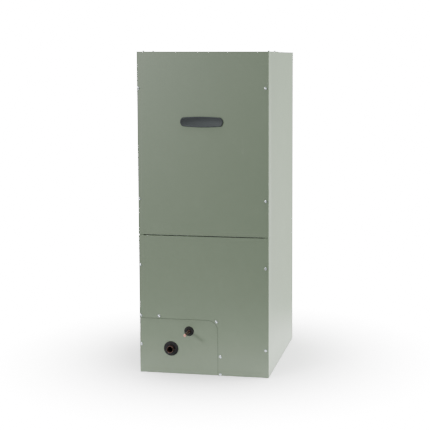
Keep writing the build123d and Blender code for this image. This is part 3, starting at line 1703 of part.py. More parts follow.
# Motor cable: out of the rear end bell, up and forward to a plug under the deck
cable_start_x = motor_back_x + motor_end_depth
cable_start_z = blower_z + cable_rise
cable_top_z = deck_z - cable_top_gap
with BuildPart() as motor_cable:
    with BuildLine():
        Polyline(
            *bent_route(
                [
                    (cable_start_x, blower_y, cable_start_z),
                    (cable_start_x + cable_out, blower_y, cable_start_z),
                    (cable_start_x + cable_out, blower_y, cable_top_z),
                    (cable_start_x + cable_out, plug_y, cable_top_z),
                ],
                cable_bend_setback,
            )
        )
    with BuildSketch(Plane(origin=(cable_start_x, blower_y, cable_start_z), x_dir=(0, 1, 0), z_dir=(1, 0, 0))):
        RegularPolygon(cable_radius, hex_sides)
    sweep(transition=Transition.RIGHT)
    with BuildSketch(Plane.XY.offset(deck_z)):
        with Locations((cable_start_x + cable_out, plug_y)):
            Rectangle(plug_width, plug_length, align=(Align.CENTER, Align.MAX))
    extrude(amount=-plug_width)
motor_cable.part.label = "motor_cable"
export_step(motor_cable.part, "parts/motor_cable.step")


# Blower screws: two through the deck's front lip
blower_screw_spots = [(-deck_half / 2, deck_z + deck_lip / 2), (deck_half / 2, deck_z + deck_lip / 2)]
blower_screws = hex_heads(Plane.XZ.offset(-deck_front), blower_screw_spots)
blower_screws.part.label = "blower_screws"
export_step(blower_screws.part, "parts/blower_screws.step")


# Cabinet screws on the top cover and on the rear flanges
top_screw_spots = [
    (side_x * (half_width - top_screw_inset), front_y + run)
    for side_x in (-1, 1)
    for run in (top_screw_front, top_screw_middle)
]
back_screw_pitch = (side_top - top_screw_middle) / (back_screw_rows - 1)
back_screw_spots = [
    (side_x * (half_width - back_screw_inset), top_screw_middle / 2 + i * back_screw_pitch)
    for side_x in (-1, 1)
    for i in range(back_screw_rows)
]
back_plane = Plane(origin=(0, back_y, 0), x_dir=(-1, 0, 0), z_dir=(0, 1, 0))
with BuildPart() as cabinet_screws:
    add(hex_heads(Plane.XY.offset(cabinet_height), top_screw_spots).part)
    add(hex_heads(back_plane, back_screw_spots).part)
cabinet_screws.part.label = "cabinet_screws"
export_step(cabinet_screws.part, "parts/cabinet_screws.step")
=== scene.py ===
import json
from math import atan2, cos, hypot, pi, radians, sin, tan

import bpy
from bpy.props import FloatProperty, FloatVectorProperty, IntProperty, PointerProperty
from mathutils import Matrix, Vector


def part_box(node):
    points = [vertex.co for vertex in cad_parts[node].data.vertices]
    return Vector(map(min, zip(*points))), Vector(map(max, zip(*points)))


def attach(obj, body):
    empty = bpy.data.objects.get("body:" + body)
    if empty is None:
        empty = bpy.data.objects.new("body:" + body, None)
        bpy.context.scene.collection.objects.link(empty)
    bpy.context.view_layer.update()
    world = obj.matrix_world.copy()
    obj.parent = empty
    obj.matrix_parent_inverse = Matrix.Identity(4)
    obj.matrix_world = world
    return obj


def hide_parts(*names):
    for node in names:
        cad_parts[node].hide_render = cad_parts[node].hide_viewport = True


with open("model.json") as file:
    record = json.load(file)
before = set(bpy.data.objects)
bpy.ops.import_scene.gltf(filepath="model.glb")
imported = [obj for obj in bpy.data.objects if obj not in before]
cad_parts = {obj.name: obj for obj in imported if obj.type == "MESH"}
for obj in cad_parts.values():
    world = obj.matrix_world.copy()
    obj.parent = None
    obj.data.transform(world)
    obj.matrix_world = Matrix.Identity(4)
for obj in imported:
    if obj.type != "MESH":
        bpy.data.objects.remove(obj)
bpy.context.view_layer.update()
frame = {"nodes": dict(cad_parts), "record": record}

bl_info = {
    "name": "Air handler",
    "version": (1, 0, 0),
    "blender": (4, 5, 0),
    "location": "3D View > Sidebar > Air handler",
    "description": "Dresses an upflow air handler with its detailed pieces and finishes",
    "category": "Object",
}

MM = 0.001
BODY_OF = {
    node: body
    for body, nodes in frame["record"]["behaviour"]["bodies"].items()
    for node in nodes
}
SLOT_OF = {part["node"]: part["material_slot"] for part in frame["record"]["subparts"]}

FORWARD, BACKWARD = (0, -1, 0), (0, 1, 0)
RIGHT, LEFT, UP = (1, 0, 0), (-1, 0, 0), (0, 0, 1)

# Camera and floor, in metres and degrees
CAMERA_PLACE = (0.8687, -3.9427, 1.1266)
CAMERA_TILT, CAMERA_TURN = 83.946, 9.94
CAMERA_SHIFT = (-0.1199, -0.1003)
SENSOR_WIDTH = 36.0
FLOOR_SIZE = 24.0
FLOOR_PLACE = (0, 4.0, -0.0004)
LIGHT_TARGET = (0, 0, 0.55)

# Front screws, in millimetres across and up on the front
UPPER_SCREWS = [(-229.5, 1019.5), (224.0, 1019.5), (-229.5, 628.5), (224.0, 628.5)]
LOWER_SCREWS = [
    (-229.5, 391.5), (224.0, 391.5), (224.0, 99.0), (-229.5, 208.3),
    (-162.5, 208.3), (46.74, 194.74), (60.3, 69.0), (60.3, 5.5),
]
PIPING_SCREWS = [(-229.5, 103.0)]
SCREW_TURN = 17.0

# Front planes, the door's notch, the pipes, the coil and the blower, in metres
FRONT_Y, PIPING_Y = -0.280, -0.2787
NOTCH_CENTRE, NOTCH_RADIUS = (0.014, 0.162), 0.038
SUCTION_X, SUCTION_Z = -0.1195, 0.0912
LIQUID_X, LIQUID_Z, LIQUID_FRONT_Y = -0.0532, 0.1569, -0.3413
LIQUID_SWAGE_Y = -0.2633
LINE_Y, BRANCH_Y = -0.236, -0.250
VALVE_X, VALVE_FOOT_Z, VALVE_LENGTH = 0.045, LIQUID_Z + 0.028, 0.044
DRAIN_Y, DRAIN_Z = -0.170, 0.057
COIL_FRONT_Y, COIL_BACK_Y = -0.190, 0.230
SLAB_FOOT_X, SLAB_FOOT_Z, SLAB_HALF = 0.160, 0.0445, 0.022
SLAB_RUN, SLAB_RISE = 0.1302, 0.3676
TUBE_SHEET = 0.0015
ROW_GAP = 0.022
TUBE_COUNT = 8
FIRST_RUNG = 2
TILT = atan2(SLAB_RUN, SLAB_RISE)
SLAB_LENGTH = hypot(SLAB_RUN, SLAB_RISE)
TUBE_PITCH = SLAB_LENGTH / TUBE_COUNT
BLOWER_Y, BLOWER_Z = 0.010, 0.700
CABLE_RISE, CABLE_TOP_Z = 0.044, 0.8663

# Profiles of the turned pieces: radius and height along the axis, in millimetres
SUCTION_BELL = [
    (11.1, 0), (11.1, 27), (11.3, 28.3), (12.12, 30), (12.15, 31), (12.15, 46), (12, 46.3), (11.4, 46.3),
    (11.18, 46), (11.15, 30.3), (10.1, 28.3), (10, 0),
]
SUCTION_THROAT = [(0, 0.4), (10, 0.4), (10.1, 28.4), (11.08, 30.4)]
LIQUID_SWAGE = [(4.7, -1.6), (5.4, -0.2), (5.56, 0.4), (5.56, 21.6), (5.4, 22), (4.7, 22)]
LIQUID_TIP = [(4.76, 0), (4.7, 0.6), (4.3, 1.1), (3.4, 1.35), (2.4, 1.2), (1.2, 0.7), (0, 0.6)]
DRAIN_RIM = [(12.3, 0), (12.3, 0.4), (16.6, 0.4), (16.8, 0), (16.8, -2), (12.3, -2)]
BEND_COLLAR = [(4.7, 0), (6.2, 0.2), (6, 2.2), (4.8, 3.6)]
HEADER_CAP = [(11.1, 0), (10.8, 1.2), (9, 2.4), (0, 3.2)]
VALVE_BODY = [
    (0, 0), (7.5, 0), (8, 11.5), (8.8, 12.2), (9, 13), (9, 16), (8, 16.8), (8, 27.2), (9, 28), (9, 31.2),
    (7.8, 32.2), (7.8, 44), (0, 44),
]
DISTRIBUTOR = [
    (0, 0), (6.9, 0), (6.9, 6), (7.6, 8), (11.2, 23.5), (12.4, 26.2), (12.7, 27.5), (12.4, 29.2),
    (11.6, 29.9), (0, 29.9),
]
BOARD_POST = [(3, 0), (3, 7.5), (2.2, 8)]
BOARD_CAN = [(0, 0), (4.2, 0), (4.2, 10), (3.8, 10.8), (3, 10.6), (0, 10.6)]
CLAMP_SCREW = [(0, 0), (3.8, 0), (3.8, 1.6), (3.2, 2.2), (0, 2.4)]
SIDE_DIMPLE = [(0, 0.9), (1.8, 0.7), (2.7, 0)]
WHEEL_RING = [
    (116.8, 0), (126.2, 0), (126.9, 0.7), (126.9, 5.2), (126.2, 5.8), (125.6, 5.2), (125.5, 1.2),
    (116.8, 0.9), (116.8, 0),
]
WHEEL_DISC = [
    (16.1, -0.8), (34, -0.8), (38, 1), (52, 1), (56, -0.8), (126.2, -0.8), (126.2, 0.7), (55.5, 0.7),
    (51.5, 2.4), (38.5, 2.4), (34.5, 0.7), (16.1, 0.7),
]
WHEEL_HUB = [
    (6.5, 0), (15, 0), (15.8, 0.8), (15.8, 18), (29, 18), (29.6, 18.6), (29.6, 20.4), (15.8, 20.4),
    (15.8, 29), (15, 30), (6.5, 30),
]
HUB_RIVET = [(2.6, 0), (2.4, 1), (1.4, 1.5), (0, 1.6)]
SHAFT = [(0, 0), (5.6, 0), (6.3, 0.7), (6.3, 71.5), (0, 71.9)]
BAND_BOLT = [(0, -5.2), (2.4, -5.2), (2.4, 5.2), (0, 5.2)]
CAPACITOR_CAN = [
    (0, 0), (20.5, 0), (21.7, 1.2), (21.7, 73.5), (21.9, 74.5), (21.7, 75.7), (20.5, 75.9), (19.6, 74.5),
    (19.6, 73.5), (0, 73.5),
]
CAPACITOR_LID = [(0, 0), (19.3, 0), (19.3, 1.2), (10, 1.6), (0, 1.6)]
CAPACITOR_STRAP = [(21.8, 0), (22, 0), (22, 16), (21.8, 16)]
CABLE_COLLAR = [(3.4, 0), (7.2, 0), (7, 2.6), (4.8, 3.4), (3.4, 3.4)]


# Sizes and colours that a user would change


class CabinetLook(bpy.types.PropertyGroup):
    """Sizes of the cabinet's small sheet-metal details."""

    fold: FloatProperty(
        name="Fold", description="Rounding of the sheets' edges", default=0.0004, unit="LENGTH"
    )
    washer_radius: FloatProperty(
        name="Washer radius", description="Radius of a screw's washer face", default=0.0044, unit="LENGTH"
    )
    head_radius: FloatProperty(
        name="Head radius", description="Radius over a screw's hex corners", default=0.0037, unit="LENGTH"
    )
    head_height: FloatProperty(
        name="Head height", description="Height of a screw above its seat", default=0.0038, unit="LENGTH"
    )


class CoilLook(bpy.types.PropertyGroup):
    """Sizes of the coil's fine details."""

    fin_pitch: FloatProperty(
        name="Fin pitch", description="Distance between two fins", default=0.0024, unit="LENGTH"
    )
    fin_sheet: FloatProperty(
        name="Fin sheet", description="Thickness of a fin", default=0.0003, unit="LENGTH"
    )
    tube_radius: FloatProperty(
        name="Tube radius", description="Radius of the coil's tubes", default=0.00476, unit="LENGTH"
    )


class BlowerLook(bpy.types.PropertyGroup):
    """Sizes of the blower's details."""

    blades: IntProperty(name="Blades", description="Blades round each half of the wheel", default=44)
    motor_radius: FloatProperty(
        name="Motor radius", description="Radius of the motor's shell", default=0.0698, unit="LENGTH"
    )


class FinishLook(bpy.types.PropertyGroup):
    """Colours of the finishes."""

    paint: FloatVectorProperty(
        name="Paint", description="Cabinet paint", subtype="COLOR", default=(0.118, 0.153, 0.103)
    )
    plate: FloatVectorProperty(
        name="Plate", description="Plate on the upper door", subtype="COLOR", default=(0.041, 0.046, 0.048)
    )
    zinc: FloatVectorProperty(
        name="Zinc", description="Plated screws", subtype="COLOR", default=(0.60, 0.66, 0.69)
    )
    copper: FloatVectorProperty(
        name="Copper", description="Drawn copper tube", subtype="COLOR", default=(0.72, 0.36, 0.22)
    )
    rubber: FloatVectorProperty(
        name="Rubber", description="Grommets", subtype="COLOR", default=(0.014, 0.014, 0.015)
    )


class StudioLook(bpy.types.PropertyGroup):
    """Camera and lights."""

    lens: FloatProperty(name="Lens", description="Focal length in millimetres", default=90.58)
    key_power: FloatProperty(
        name="Key light", description="Power of the light at the upper left", default=140.0, unit="POWER"
    )
    side_power: FloatProperty(
        name="Side light", description="Power of the light at the right", default=290.0, unit="POWER"
    )
    top_power: FloatProperty(
        name="Top light", description="Power of the light overhead", default=480.0, unit="POWER"
    )
    sky: FloatProperty(name="Sky", description="Strength of the surround's light", default=0.45)
    backdrop: FloatProperty(name="Backdrop", description="Brightness of the white surround", default=18.0)
    floor_glow: FloatProperty(
        name="Floor glow", description="Light the floor gives off like a lit sweep", default=0.6
    )
    floor_clear: FloatProperty(
        name="Floor", description="Distance at which the floor starts to fade", default=0.26, unit="LENGTH"
    )
    floor_end: FloatProperty(
        name="Floor end", description="Distance at which the floor has faded out", default=1.0, unit="LENGTH"
    )


# Finishes: procedural materials on object coordinates


class Reading:
    """A number that varies over a surface; sums and products on it add their Math nodes."""

    def __init__(self, finish, socket):
        self.finish = finish
        self.socket = socket

    def math(self, operation, *terms):
        return self.finish.node("ShaderNodeMath", {"operation": operation}, dict(enumerate(terms)))

    def __add__(self, other):
        return self.math("ADD", self, other)

    __radd__ = __add__

    def __sub__(self, other):
        return self.math("SUBTRACT", self, other)

    def __rsub__(self, other):
        return self.math("SUBTRACT", other, self)

    def __mul__(self, other):
        return self.math("MULTIPLY", self, other)

    __rmul__ = __mul__

    def __pow__(self, other):
        return self.math("POWER", self, other)

    def at_least(self, floor):
        return self.math("MAXIMUM", self, floor)

    def band(self, low, high):
        """Smooth step from 0 at low to 1 at high."""
        return self.finish.node(
            "ShaderNodeMapRange",
            {"interpolation_type": "SMOOTHSTEP", "clamp": True},
            {0: self, 1: low, 2: high, 3: 0.0, 4: 1.0},
        )


class Finish:
    """One material and the nodes that make it."""

    def __init__(self, name, rough=0.5, metal=0.0):
        self.material = bpy.data.materials.new(name)
        self.material.use_nodes = True
        self.tree = self.material.node_tree
        self.shader = self.tree.nodes["Principled BSDF"]
        self.set(Roughness=rough, Metallic=metal)
        self.place = self.node("ShaderNodeTexCoord", output=3)

    def feed(self, socket, value):
        if isinstance(value, Reading):
            self.tree.links.new(value.socket, socket)
        elif socket.type == "RGBA" and len(value) == 3:
            socket.default_value = (*value, 1.0)
        else:
            socket.default_value = value

    def node(self, kind, settings=None, values=None, output=0):
        made = self.tree.nodes.new(kind)
        for name, value in (settings or {}).items():
            setattr(made, name, value)
        for key, value in (values or {}).items():
            self.feed(made.inputs[key], value)
        return Reading(self, made.outputs[output])

    def set(self, **sockets):
        for name, value in sockets.items():
            self.feed(self.shader.inputs[name.replace("_", " ")], value)
        return self

    def stretched(self, scale):
        """The object's coordinates, or those coordinates scaled."""
        if not scale:
            return self.place
        return self.node("ShaderNodeMapping", values={0: self.place, 3: scale})

    def noise(self, scale, detail=2.0, roughness=0.5, stretch=None):
        values = {"Vector": self.stretched(stretch), "Scale": scale, "Detail": detail, "Roughness": roughness}
        return self.node("ShaderNodeTexNoise", values=values)

    def cells(self, scale, stretch=None, output=0, feature="F1"):
        values = {"Vector": self.stretched(stretch), "Scale": scale}
        return self.node("ShaderNodeTexVoronoi", {"feature": feature}, values, output)

    def along(self, axis):
        return self.node("ShaderNodeSeparateXYZ", values={0: self.place}, output="XYZ".index(axis))

    def blend(self, share, first, second):
        return self.node("ShaderNodeMix", {"data_type": "RGBA"}, {0: share, 6: first, 7: second}, 2)

    def relief(self, height, depth, strength=1.0, under=None):
        values = {"Height": height, "Distance": depth, "Strength": strength}
        if under:
            values["Normal"] = under
        return self.node("ShaderNodeBump", values=values)


def shade(colour, factor):
    """A colour made lighter or darker."""
    return tuple(min(1.0, part * factor) for part in colour)


def patterned(
    name, tone, colours, grain=None, band=None, rough=(0.5, 0.0), by=0, relief=None, metal=0.0, **fixed
):
    """Finish with two colours mixed by one noise, the tone, and with the grain of another in its relief.

    The roughness is a base and a spread; by says whether the spread follows the tone (0) or the grain (1).
    """
    finish = Finish(name, rough[0], metal)
    tone = finish.noise(*tone)
    grain = finish.noise(*grain) if grain else tone
    finish.set(Base_Color=finish.blend(tone.band(*band) if band else tone, *colours), **fixed)
    if rough[1]:
        finish.set(Roughness=rough[0] + rough[1] * (tone, grain)[by])
    if relief:
        finish.set(Normal=finish.relief(grain, *relief))
    return finish


def satin_paint(look, name="satin_paint", lift=1.0, notch_shadow=False):
    """Satin coat with a fine orange peel, a slow drift of tone and a few rubbed marks.

    A notch shadow is painted shadow: a dark band on the piping panel along the door's notch, where the door's
    edge shades the panel.
    """
    finish = Finish(name)
    drift = finish.noise(2.6, 3.0)
    cloud = finish.noise(14.0, 4.0, 0.6)
    # Lift above 1 makes a lighter copy of the paint, painted light for sideways faces
    colour = finish.blend(drift, shade(look.paint, 0.95 * lift), shade(look.paint, 1.05 * lift))
    colour = finish.blend(cloud.band(0.55, 0.8) * 0.25, colour, shade(look.paint, 1.12))
    rub = finish.noise(60.0, 3.0, 0.7, (1.0, 1.0, 0.06))
    rubbed = rub.band(0.66, 0.74) * cloud.band(0.5, 0.7)
    colour = finish.blend(rubbed * 0.3, colour, shade(look.paint, 1.35))
    if notch_shadow:
        # Painted shadow: darkens the piping panel in a thin band just inside the door's notch edge
        across = (finish.along("X") - NOTCH_CENTRE[0]).at_least(0.0)
        up = (finish.along("Z") - NOTCH_CENTRE[1]).at_least(0.0)
        under = NOTCH_RADIUS - (across * across + up * up) ** 0.5
        colour = finish.blend((1.0 - under.band(0.0008, 0.0024)) * 0.8, colour, shade(look.paint, 0.12))
    finish.set(Base_Color=colour, Roughness=0.40 + 0.08 * cloud + 0.1 * rubbed)
    wave = finish.relief(finish.noise(5.0, 1.0), 0.0009, 0.25)
    finish.set(Normal=finish.relief(finish.noise(620.0, 2.0), 0.00006, 0.5, wave))
    return finish.set(Coat_Weight=0.15, Coat_Roughness=0.25)


def galvanized(look):
    """Zinc-coated sheet with its flat crystal spangle."""
    finish = Finish("galvanized_sheet", metal=0.85)
    tone = finish.node("ShaderNodeSeparateColor", values={0: finish.cells(120.0, output=1)})
    fine = finish.noise(260.0, 2.0, 0.6, (1.0, 1.0, 0.15))
    colour = finish.blend(tone, (0.40, 0.413, 0.425), (0.485, 0.497, 0.508))
    colour = finish.blend(finish.noise(30.0, 2.0).band(0.45, 0.75) * 0.35, colour, (0.40, 0.41, 0.42))
    finish.set(Base_Color=colour, Roughness=0.34 + 0.08 * tone + 0.08 * fine)
    return finish.set(Normal=finish.relief(fine, 0.00004, 0.4))


def foil_liner(look):
    """Glass fibre blanket with a crinkled, quilted foil face."""
    finish = Finish("foil_liner", metal=0.9)
    soft = finish.noise(45.0, 4.0, 0.65)
    colour = finish.blend(soft, (0.52, 0.53, 0.54), (0.72, 0.73, 0.73))
    finish.set(Base_Color=colour, Roughness=0.22 + 0.3 * soft)
    crinkle = finish.cells(120.0, feature="DISTANCE_TO_EDGE")
    crease = finish.relief(crinkle.band(0.0, 0.09), 0.0004, 0.5)
    return finish.set(Normal=finish.relief(soft, 0.0016, 0.6, crease))


def drawn_copper(look):
    """Copper tube, bright in places and dulled with a thin brown film in others."""
    finish = Finish("drawn_copper", metal=1.0)
    film = finish.noise(55.0, 4.0, 0.6)
    pull = finish.noise(500.0, 1.0, 0.5, (1.0, 0.05, 1.0))
    colour = finish.blend(film.band(0.42, 0.7), look.copper, (0.36, 0.17, 0.11))
    finish.set(Base_Color=colour, Roughness=0.2 + 0.25 * film.band(0.4, 0.7) + 0.06 * pull)
    return finish.set(Normal=finish.relief(pull, 0.00004, 0.35))


def painted_shade_copper(look):
    """Copper tube end, darkened as painted shade for the dark reflections on it, with a random brown film and
    lighter handled smears.
    """
    finish = Finish("painted_shade_copper", metal=1.0)
    film = finish.noise(75.0, 4.0, 0.6)
    smear = finish.noise(300.0, 3.0, 0.6)
    # Painted shade: both tones are far darker than drawn copper
    colour = finish.blend(film, (0.30, 0.19, 0.165), (0.075, 0.05, 0.045))
    finish.set(Base_Color=finish.blend(smear.band(0.6, 0.8) * 0.5, colour, shade(look.copper, 0.6)))
    return finish.set(Roughness=0.34 + 0.2 * film, Normal=finish.relief(smear, 0.00004, 0.4))


def filter_fibre(look):
    """Pleated filter cloth of laid fibres with some dust."""
    finish = Finish("filter_fibre", rough=0.9)
    fibre = finish.noise(320.0, 4.0, 0.7, (1.0, 0.35, 1.0))
    dust = finish.noise(18.0, 3.0)
    colour = finish.blend(fibre, (0.66, 0.70, 0.74), (0.82, 0.85, 0.87))
    colour = finish.blend(dust.band(0.5, 0.8) * 0.4, colour, (0.45, 0.44, 0.41))
    return finish.set(Base_Color=colour, Normal=finish.relief(fibre, 0.0003, 0.6), Sheen_Weight=0.2)


def folded_card(look):
    """Brown card with visible fibres."""
    finish = Finish("folded_card", rough=0.8)
    fibre = finish.noise(420.0, 4.0, 0.7, (0.4, 1.0, 1.0))
    colour = finish.blend(fibre, (0.42, 0.31, 0.20), (0.56, 0.44, 0.30))
    finish.set(Base_Color=finish.blend(finish.noise(9.0, 2.0) * 0.4, colour, (0.40, 0.29, 0.18)))
    return finish.set(Normal=finish.relief(fibre, 0.00012, 0.5))


def circuit_board(look):
    """Green solder mask with faint tracks under it."""
    finish = Finish("circuit_board", rough=0.32)
    line = finish.cells(150.0, (1.0, 0.02, 1.0), feature="DISTANCE_TO_EDGE").band(0.05, 0.09)
    finish.set(Base_Color=finish.blend(line, (0.012, 0.11, 0.045), (0.006, 0.055, 0.025)))
    return finish.set(Normal=finish.relief(line, 0.00006, 0.6), Coat_Weight=0.3, Coat_Roughness=0.2)


def motor_enamel(look):
    """Black enamel with a light orange peel and dust."""
    finish = Finish("motor_enamel")
    dust = finish.noise(40.0, 4.0, 0.6)
    finish.set(Base_Color=finish.blend(dust.band(0.5, 0.85), (0.011, 0.011, 0.012), (0.045, 0.043, 0.04)))
    finish.set(Roughness=0.28 + 0.25 * dust.band(0.5, 0.8))
    return finish.set(Normal=finish.relief(finish.noise(380.0, 2.0), 0.0001, 0.4))


def wire_cover(name):
    """Insulated wire of one colour."""
    colour = WIRE_COLOURS[name]
    tones = shade(colour, 0.8), colour
    return patterned(name, (60.0, 2.0), tones, (900.0, 1.0), rough=(0.34, 0.12), relief=(0.00004, 0.3))


WIRE_COLOURS = {
    "wire_red": (0.42, 0.02, 0.02),
    "wire_black": (0.012, 0.012, 0.012),
    "wire_white": (0.62, 0.61, 0.58),
    "wire_yellow": (0.62, 0.46, 0.03),
    "wire_green": (0.02, 0.22, 0.05),
    "wire_blue": (0.02, 0.06, 0.36),
    "wire_brown": (0.11, 0.045, 0.02),
}
MAKERS = {
    "paint": satin_paint,
    "notch_shadow_paint": lambda look: satin_paint(look, "notch_shadow_paint", notch_shadow=True),
    # Painted light: a lighter copy of the cabinet paint for the doors' sideways faces
    "painted_light_side_paint": lambda look: satin_paint(look, "painted_light_side_paint", lift=1.12),
    "galvanized": galvanized,
    "foil": foil_liner,
    "copper": drawn_copper,
    "painted_shade_copper": painted_shade_copper,
    "filter_media": filter_fibre,
    "filter_frame": folded_card,
    "board": circuit_board,
    "motor_paint": motor_enamel,
    # Bright plated steel with small tool marks
    "zinc": lambda look: patterned(
        "zinc_plate", (140.0, 1.0), (shade(look.zinc, 0.85), shade(look.zinc, 1.15)), (900.0, 2.0),
        rough=(0.18, 0.16), by=1, relief=(0.00003, 0.5), metal=1.0,
    ),
    # Moulded black plastic with a fine grain
    "pan_plastic": lambda look: patterned(
        "pan_plastic", (11.0, 3.0), ((0.012, 0.013, 0.014), (0.03, 0.031, 0.033)), (700.0, 2.0),
        rough=(0.42, 0.16), relief=(0.00012, 0.5),
    ),
    # Thin aluminium fin stock with small dents in its edges
    "fins": lambda look: patterned(
        "fin_aluminium", (22.0, 3.0, 0.6), ((0.60, 0.615, 0.625), (0.42, 0.43, 0.44)),
        (90.0, 2.0, 0.5, (1.0, 0.1, 1.0)), (0.55, 0.75), (0.28, 0.2), 1, (0.0002, 0.4), 0.95,
    ),
    # Pinched and soldered end of a copper tube, pinkish and dull
    "copper_tip": lambda look: patterned(
        "copper_tip", (400.0, 3.0, 0.6), ((0.50, 0.22, 0.17), (0.60, 0.30, 0.245)),
        rough=(0.42, 0.2), relief=(0.0001, 0.4), metal=0.6,
    ),
    # Turned brass
    "brass": lambda look: patterned(
        "machined_brass", (40.0, 2.0), ((0.62, 0.42, 0.16), (0.46, 0.30, 0.12)),
        (800.0, 1.0, 0.5, (0.05, 0.05, 1.0)), rough=(0.22, 0.14), by=1, relief=(0.00004, 0.5), metal=1.0,
    ),
    # Matt black rubber with a dusty bloom
    "rubber": lambda look: patterned(
        "grommet_rubber", (90.0, 3.0, 0.6), (shade(look.rubber, 0.6), shade(look.rubber, 1.6)), (1400.0, 1.0),
        (0.5, 0.8), (0.52, 0.2), relief=(0.00005, 0.5), Specular_IOR_Level=0.2,
    ),
    # Glossy black moulding with faint flow marks
    "black_plastic": lambda look: patterned(
        "black_moulding", (120.0, 2.0), ((0.010, 0.010, 0.011), (0.022, 0.022, 0.023)),
        rough=(0.22, 0.16), relief=(0.0001, 0.25),
    ),
    # Dark grey smooth plate with a slight drift of tone and fine handling marks
    "plate": lambda look: patterned(
        "plate_face", (26.0, 3.0), (shade(look.plate, 0.9), shade(look.plate, 1.12)),
        (300.0, 2.0, 0.6, (0.15, 1.0, 1.0)), rough=(0.6, 0.1), by=1, relief=(0.00002, 0.3),
        Specular_IOR_Level=0.15,
    ),
    # Satin aluminium can with fine upright brush lines
    "ivory_plastic": lambda look: patterned(
        "brushed_case", (700.0, 2.0, 0.6, (1.0, 1.0, 0.03)), ((0.55, 0.56, 0.57), (0.70, 0.71, 0.72)),
        rough=(0.24, 0.16), relief=(0.00004, 0.4), metal=0.95,
    ),
    # Yellow glass fibre at the insulation's cut edges
    "raw_fibre": lambda look: patterned(
        "raw_fibre", (500.0, 5.0, 0.75), ((0.52, 0.42, 0.16), (0.75, 0.66, 0.36)),
        rough=(0.95, 0.0), relief=(0.0008, 0.8),
    ),
    # Yellow cloth tape wound over a transformer's coil
    "winding_tape": lambda look: patterned(
        "winding_tape", (130.0, 2.0, 0.5, (0.1, 1.0, 1.0)), ((0.50, 0.36, 0.07), (0.66, 0.52, 0.14)),
        (1500.0, 1.0), rough=(0.45, 0.2), relief=(0.0001, 0.5),
    ),
    # Unlit inner surface of an open tube
    "dark_inside": lambda look: patterned(
        "dark_inside", (200.0, 2.0), ((0.010, 0.007, 0.006), (0.035, 0.022, 0.016)), rough=(0.7, 0.0)
    ),
}
FINISHES = {}


def finish_of(name):
    """The material of one finish, made once."""
    if name == "wiring":
        name = "wire_brown"
    if name not in FINISHES:
        look = bpy.context.scene.air_handler_finish
        made = wire_cover(name) if name in WIRE_COLOURS else MAKERS[name](look)
        FINISHES[name] = made.material
    return FINISHES[name]


# Modelling helpers


def deselect():
    if bpy.context.object and bpy.context.object.mode != "OBJECT":
        bpy.ops.object.mode_set(mode="OBJECT")
    bpy.ops.object.select_all(action="DESELECT")


def select(*things):
    deselect()
    for thing in things:
        thing.select_set(True)
    bpy.context.view_layer.objects.active = things[0]


def modify(thing, kind, **settings):
    """Adds one modifier and applies it."""
    select(thing)
    bpy.ops.object.modifier_add(type=kind)
    modifier = thing.modifiers[-1]
    for name, value in settings.items():
        setattr(modifier, name, value)
    bpy.ops.object.modifier_apply(modifier=modifier.name)


def soften(thing, width, angle=30.0, segments=2):
    """Rounds the edges sharper than an angle."""
    modify(
        thing, "BEVEL", width=width, segments=segments, limit_method="ANGLE", angle_limit=radians(angle)
    )


def smooth(thing, angle=40.0):
    select(thing)
    bpy.ops.object.shade_smooth_by_angle(angle=radians(angle))


def seat(thing, place):
    """Puts a piece at a place or into a frame and leaves its object at the origin."""
    thing.matrix_world = place if isinstance(place, Matrix) else Matrix.Translation(place)
    select(thing)
    bpy.ops.object.transform_apply(location=True, rotation=True, scale=True)
    return thing


def dress(thing, name, body, finish, stands_for=()):
    """Names a finished piece and gives it its finish and its body."""
    thing.name = name
    thing.data.name = name
    thing.data.materials.clear()
    thing.data.materials.append(finish_of(finish))
    if stands_for:
        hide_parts(*stands_for)
    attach(thing, body)
    return thing


def join(*things):
    select(*things)
    if len(things) > 1:
        bpy.ops.object.join()
    return bpy.context.object


def copies(thing, places):
    """One mesh holding a copy of a thing at each place or frame, and the thing itself is used up."""
    made = []
    for place in places:
        select(thing)
        bpy.ops.object.duplicate(linked=False)
        made.append(seat(bpy.context.object, place))
    bpy.data.objects.remove(thing)
    return join(*made)


def facing(place, out, up=UP):
    """Frame at a place whose Z points out and whose Y leans towards up."""
    out = Vector(out).normalized()
    side = Vector(up).cross(out)
    side = side.normalized() if side.length > 1e-6 else Vector(RIGHT)
    turn = Matrix((side, out.cross(side), out)).transposed()
    return Matrix.Translation(place) @ turn.to_4x4()


def corners(node):
    """Lowest and highest corner of a CAD node."""
    low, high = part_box(node)
    return Vector(low), Vector(high)


def pick(thing, test):
    """Enters edit mode with just the faces that pass a test selected."""
    select(thing)
    bpy.ops.object.mode_set(mode="EDIT")
    bpy.ops.mesh.select_mode(type="FACE")
    bpy.ops.mesh.select_all(action="DESELECT")
    bpy.ops.object.mode_set(mode="OBJECT")
    for face in thing.data.polygons:
        face.select = test(face)
    bpy.ops.object.mode_set(mode="EDIT")


def done():
    """Leaves edit mode, with vertices to be picked next time."""
    bpy.ops.mesh.select_mode(type="VERT")
    bpy.ops.object.mode_set(mode="OBJECT")


def remove_faces(thing, test):
    pick(thing, test)
    bpy.ops.mesh.delete(type="FACE")
    done()


def inset(thing, test, *steps, cuts=0, single=False):
    """Cuts up and insets the faces that pass a test, one (thickness, depth) after the other."""
    pick(thing, test)
    if cuts:
        bpy.ops.mesh.subdivide(number_cuts=cuts)
    for thickness, depth in steps:
        bpy.ops.mesh.inset(thickness=thickness, depth=depth, use_individual=single)
    done()


def second_finish(thing, finish, test):
    """Gives some faces of a finished piece another finish."""
    thing.data.materials.append(finish_of(finish))
    index = len(thing.data.materials) - 1
    for face in thing.data.polygons:
        if test(face):
            face.material_index = index


def tidy_mesh(threshold=1e-6):
    """In edit mode, merges the points that fall together and turns all faces outwards."""
    bpy.ops.mesh.select_all(action="SELECT")
    bpy.ops.mesh.remove_doubles(threshold=threshold)
    bpy.ops.mesh.normals_make_consistent(inside=False)
    bpy.ops.object.mode_set(mode="OBJECT")


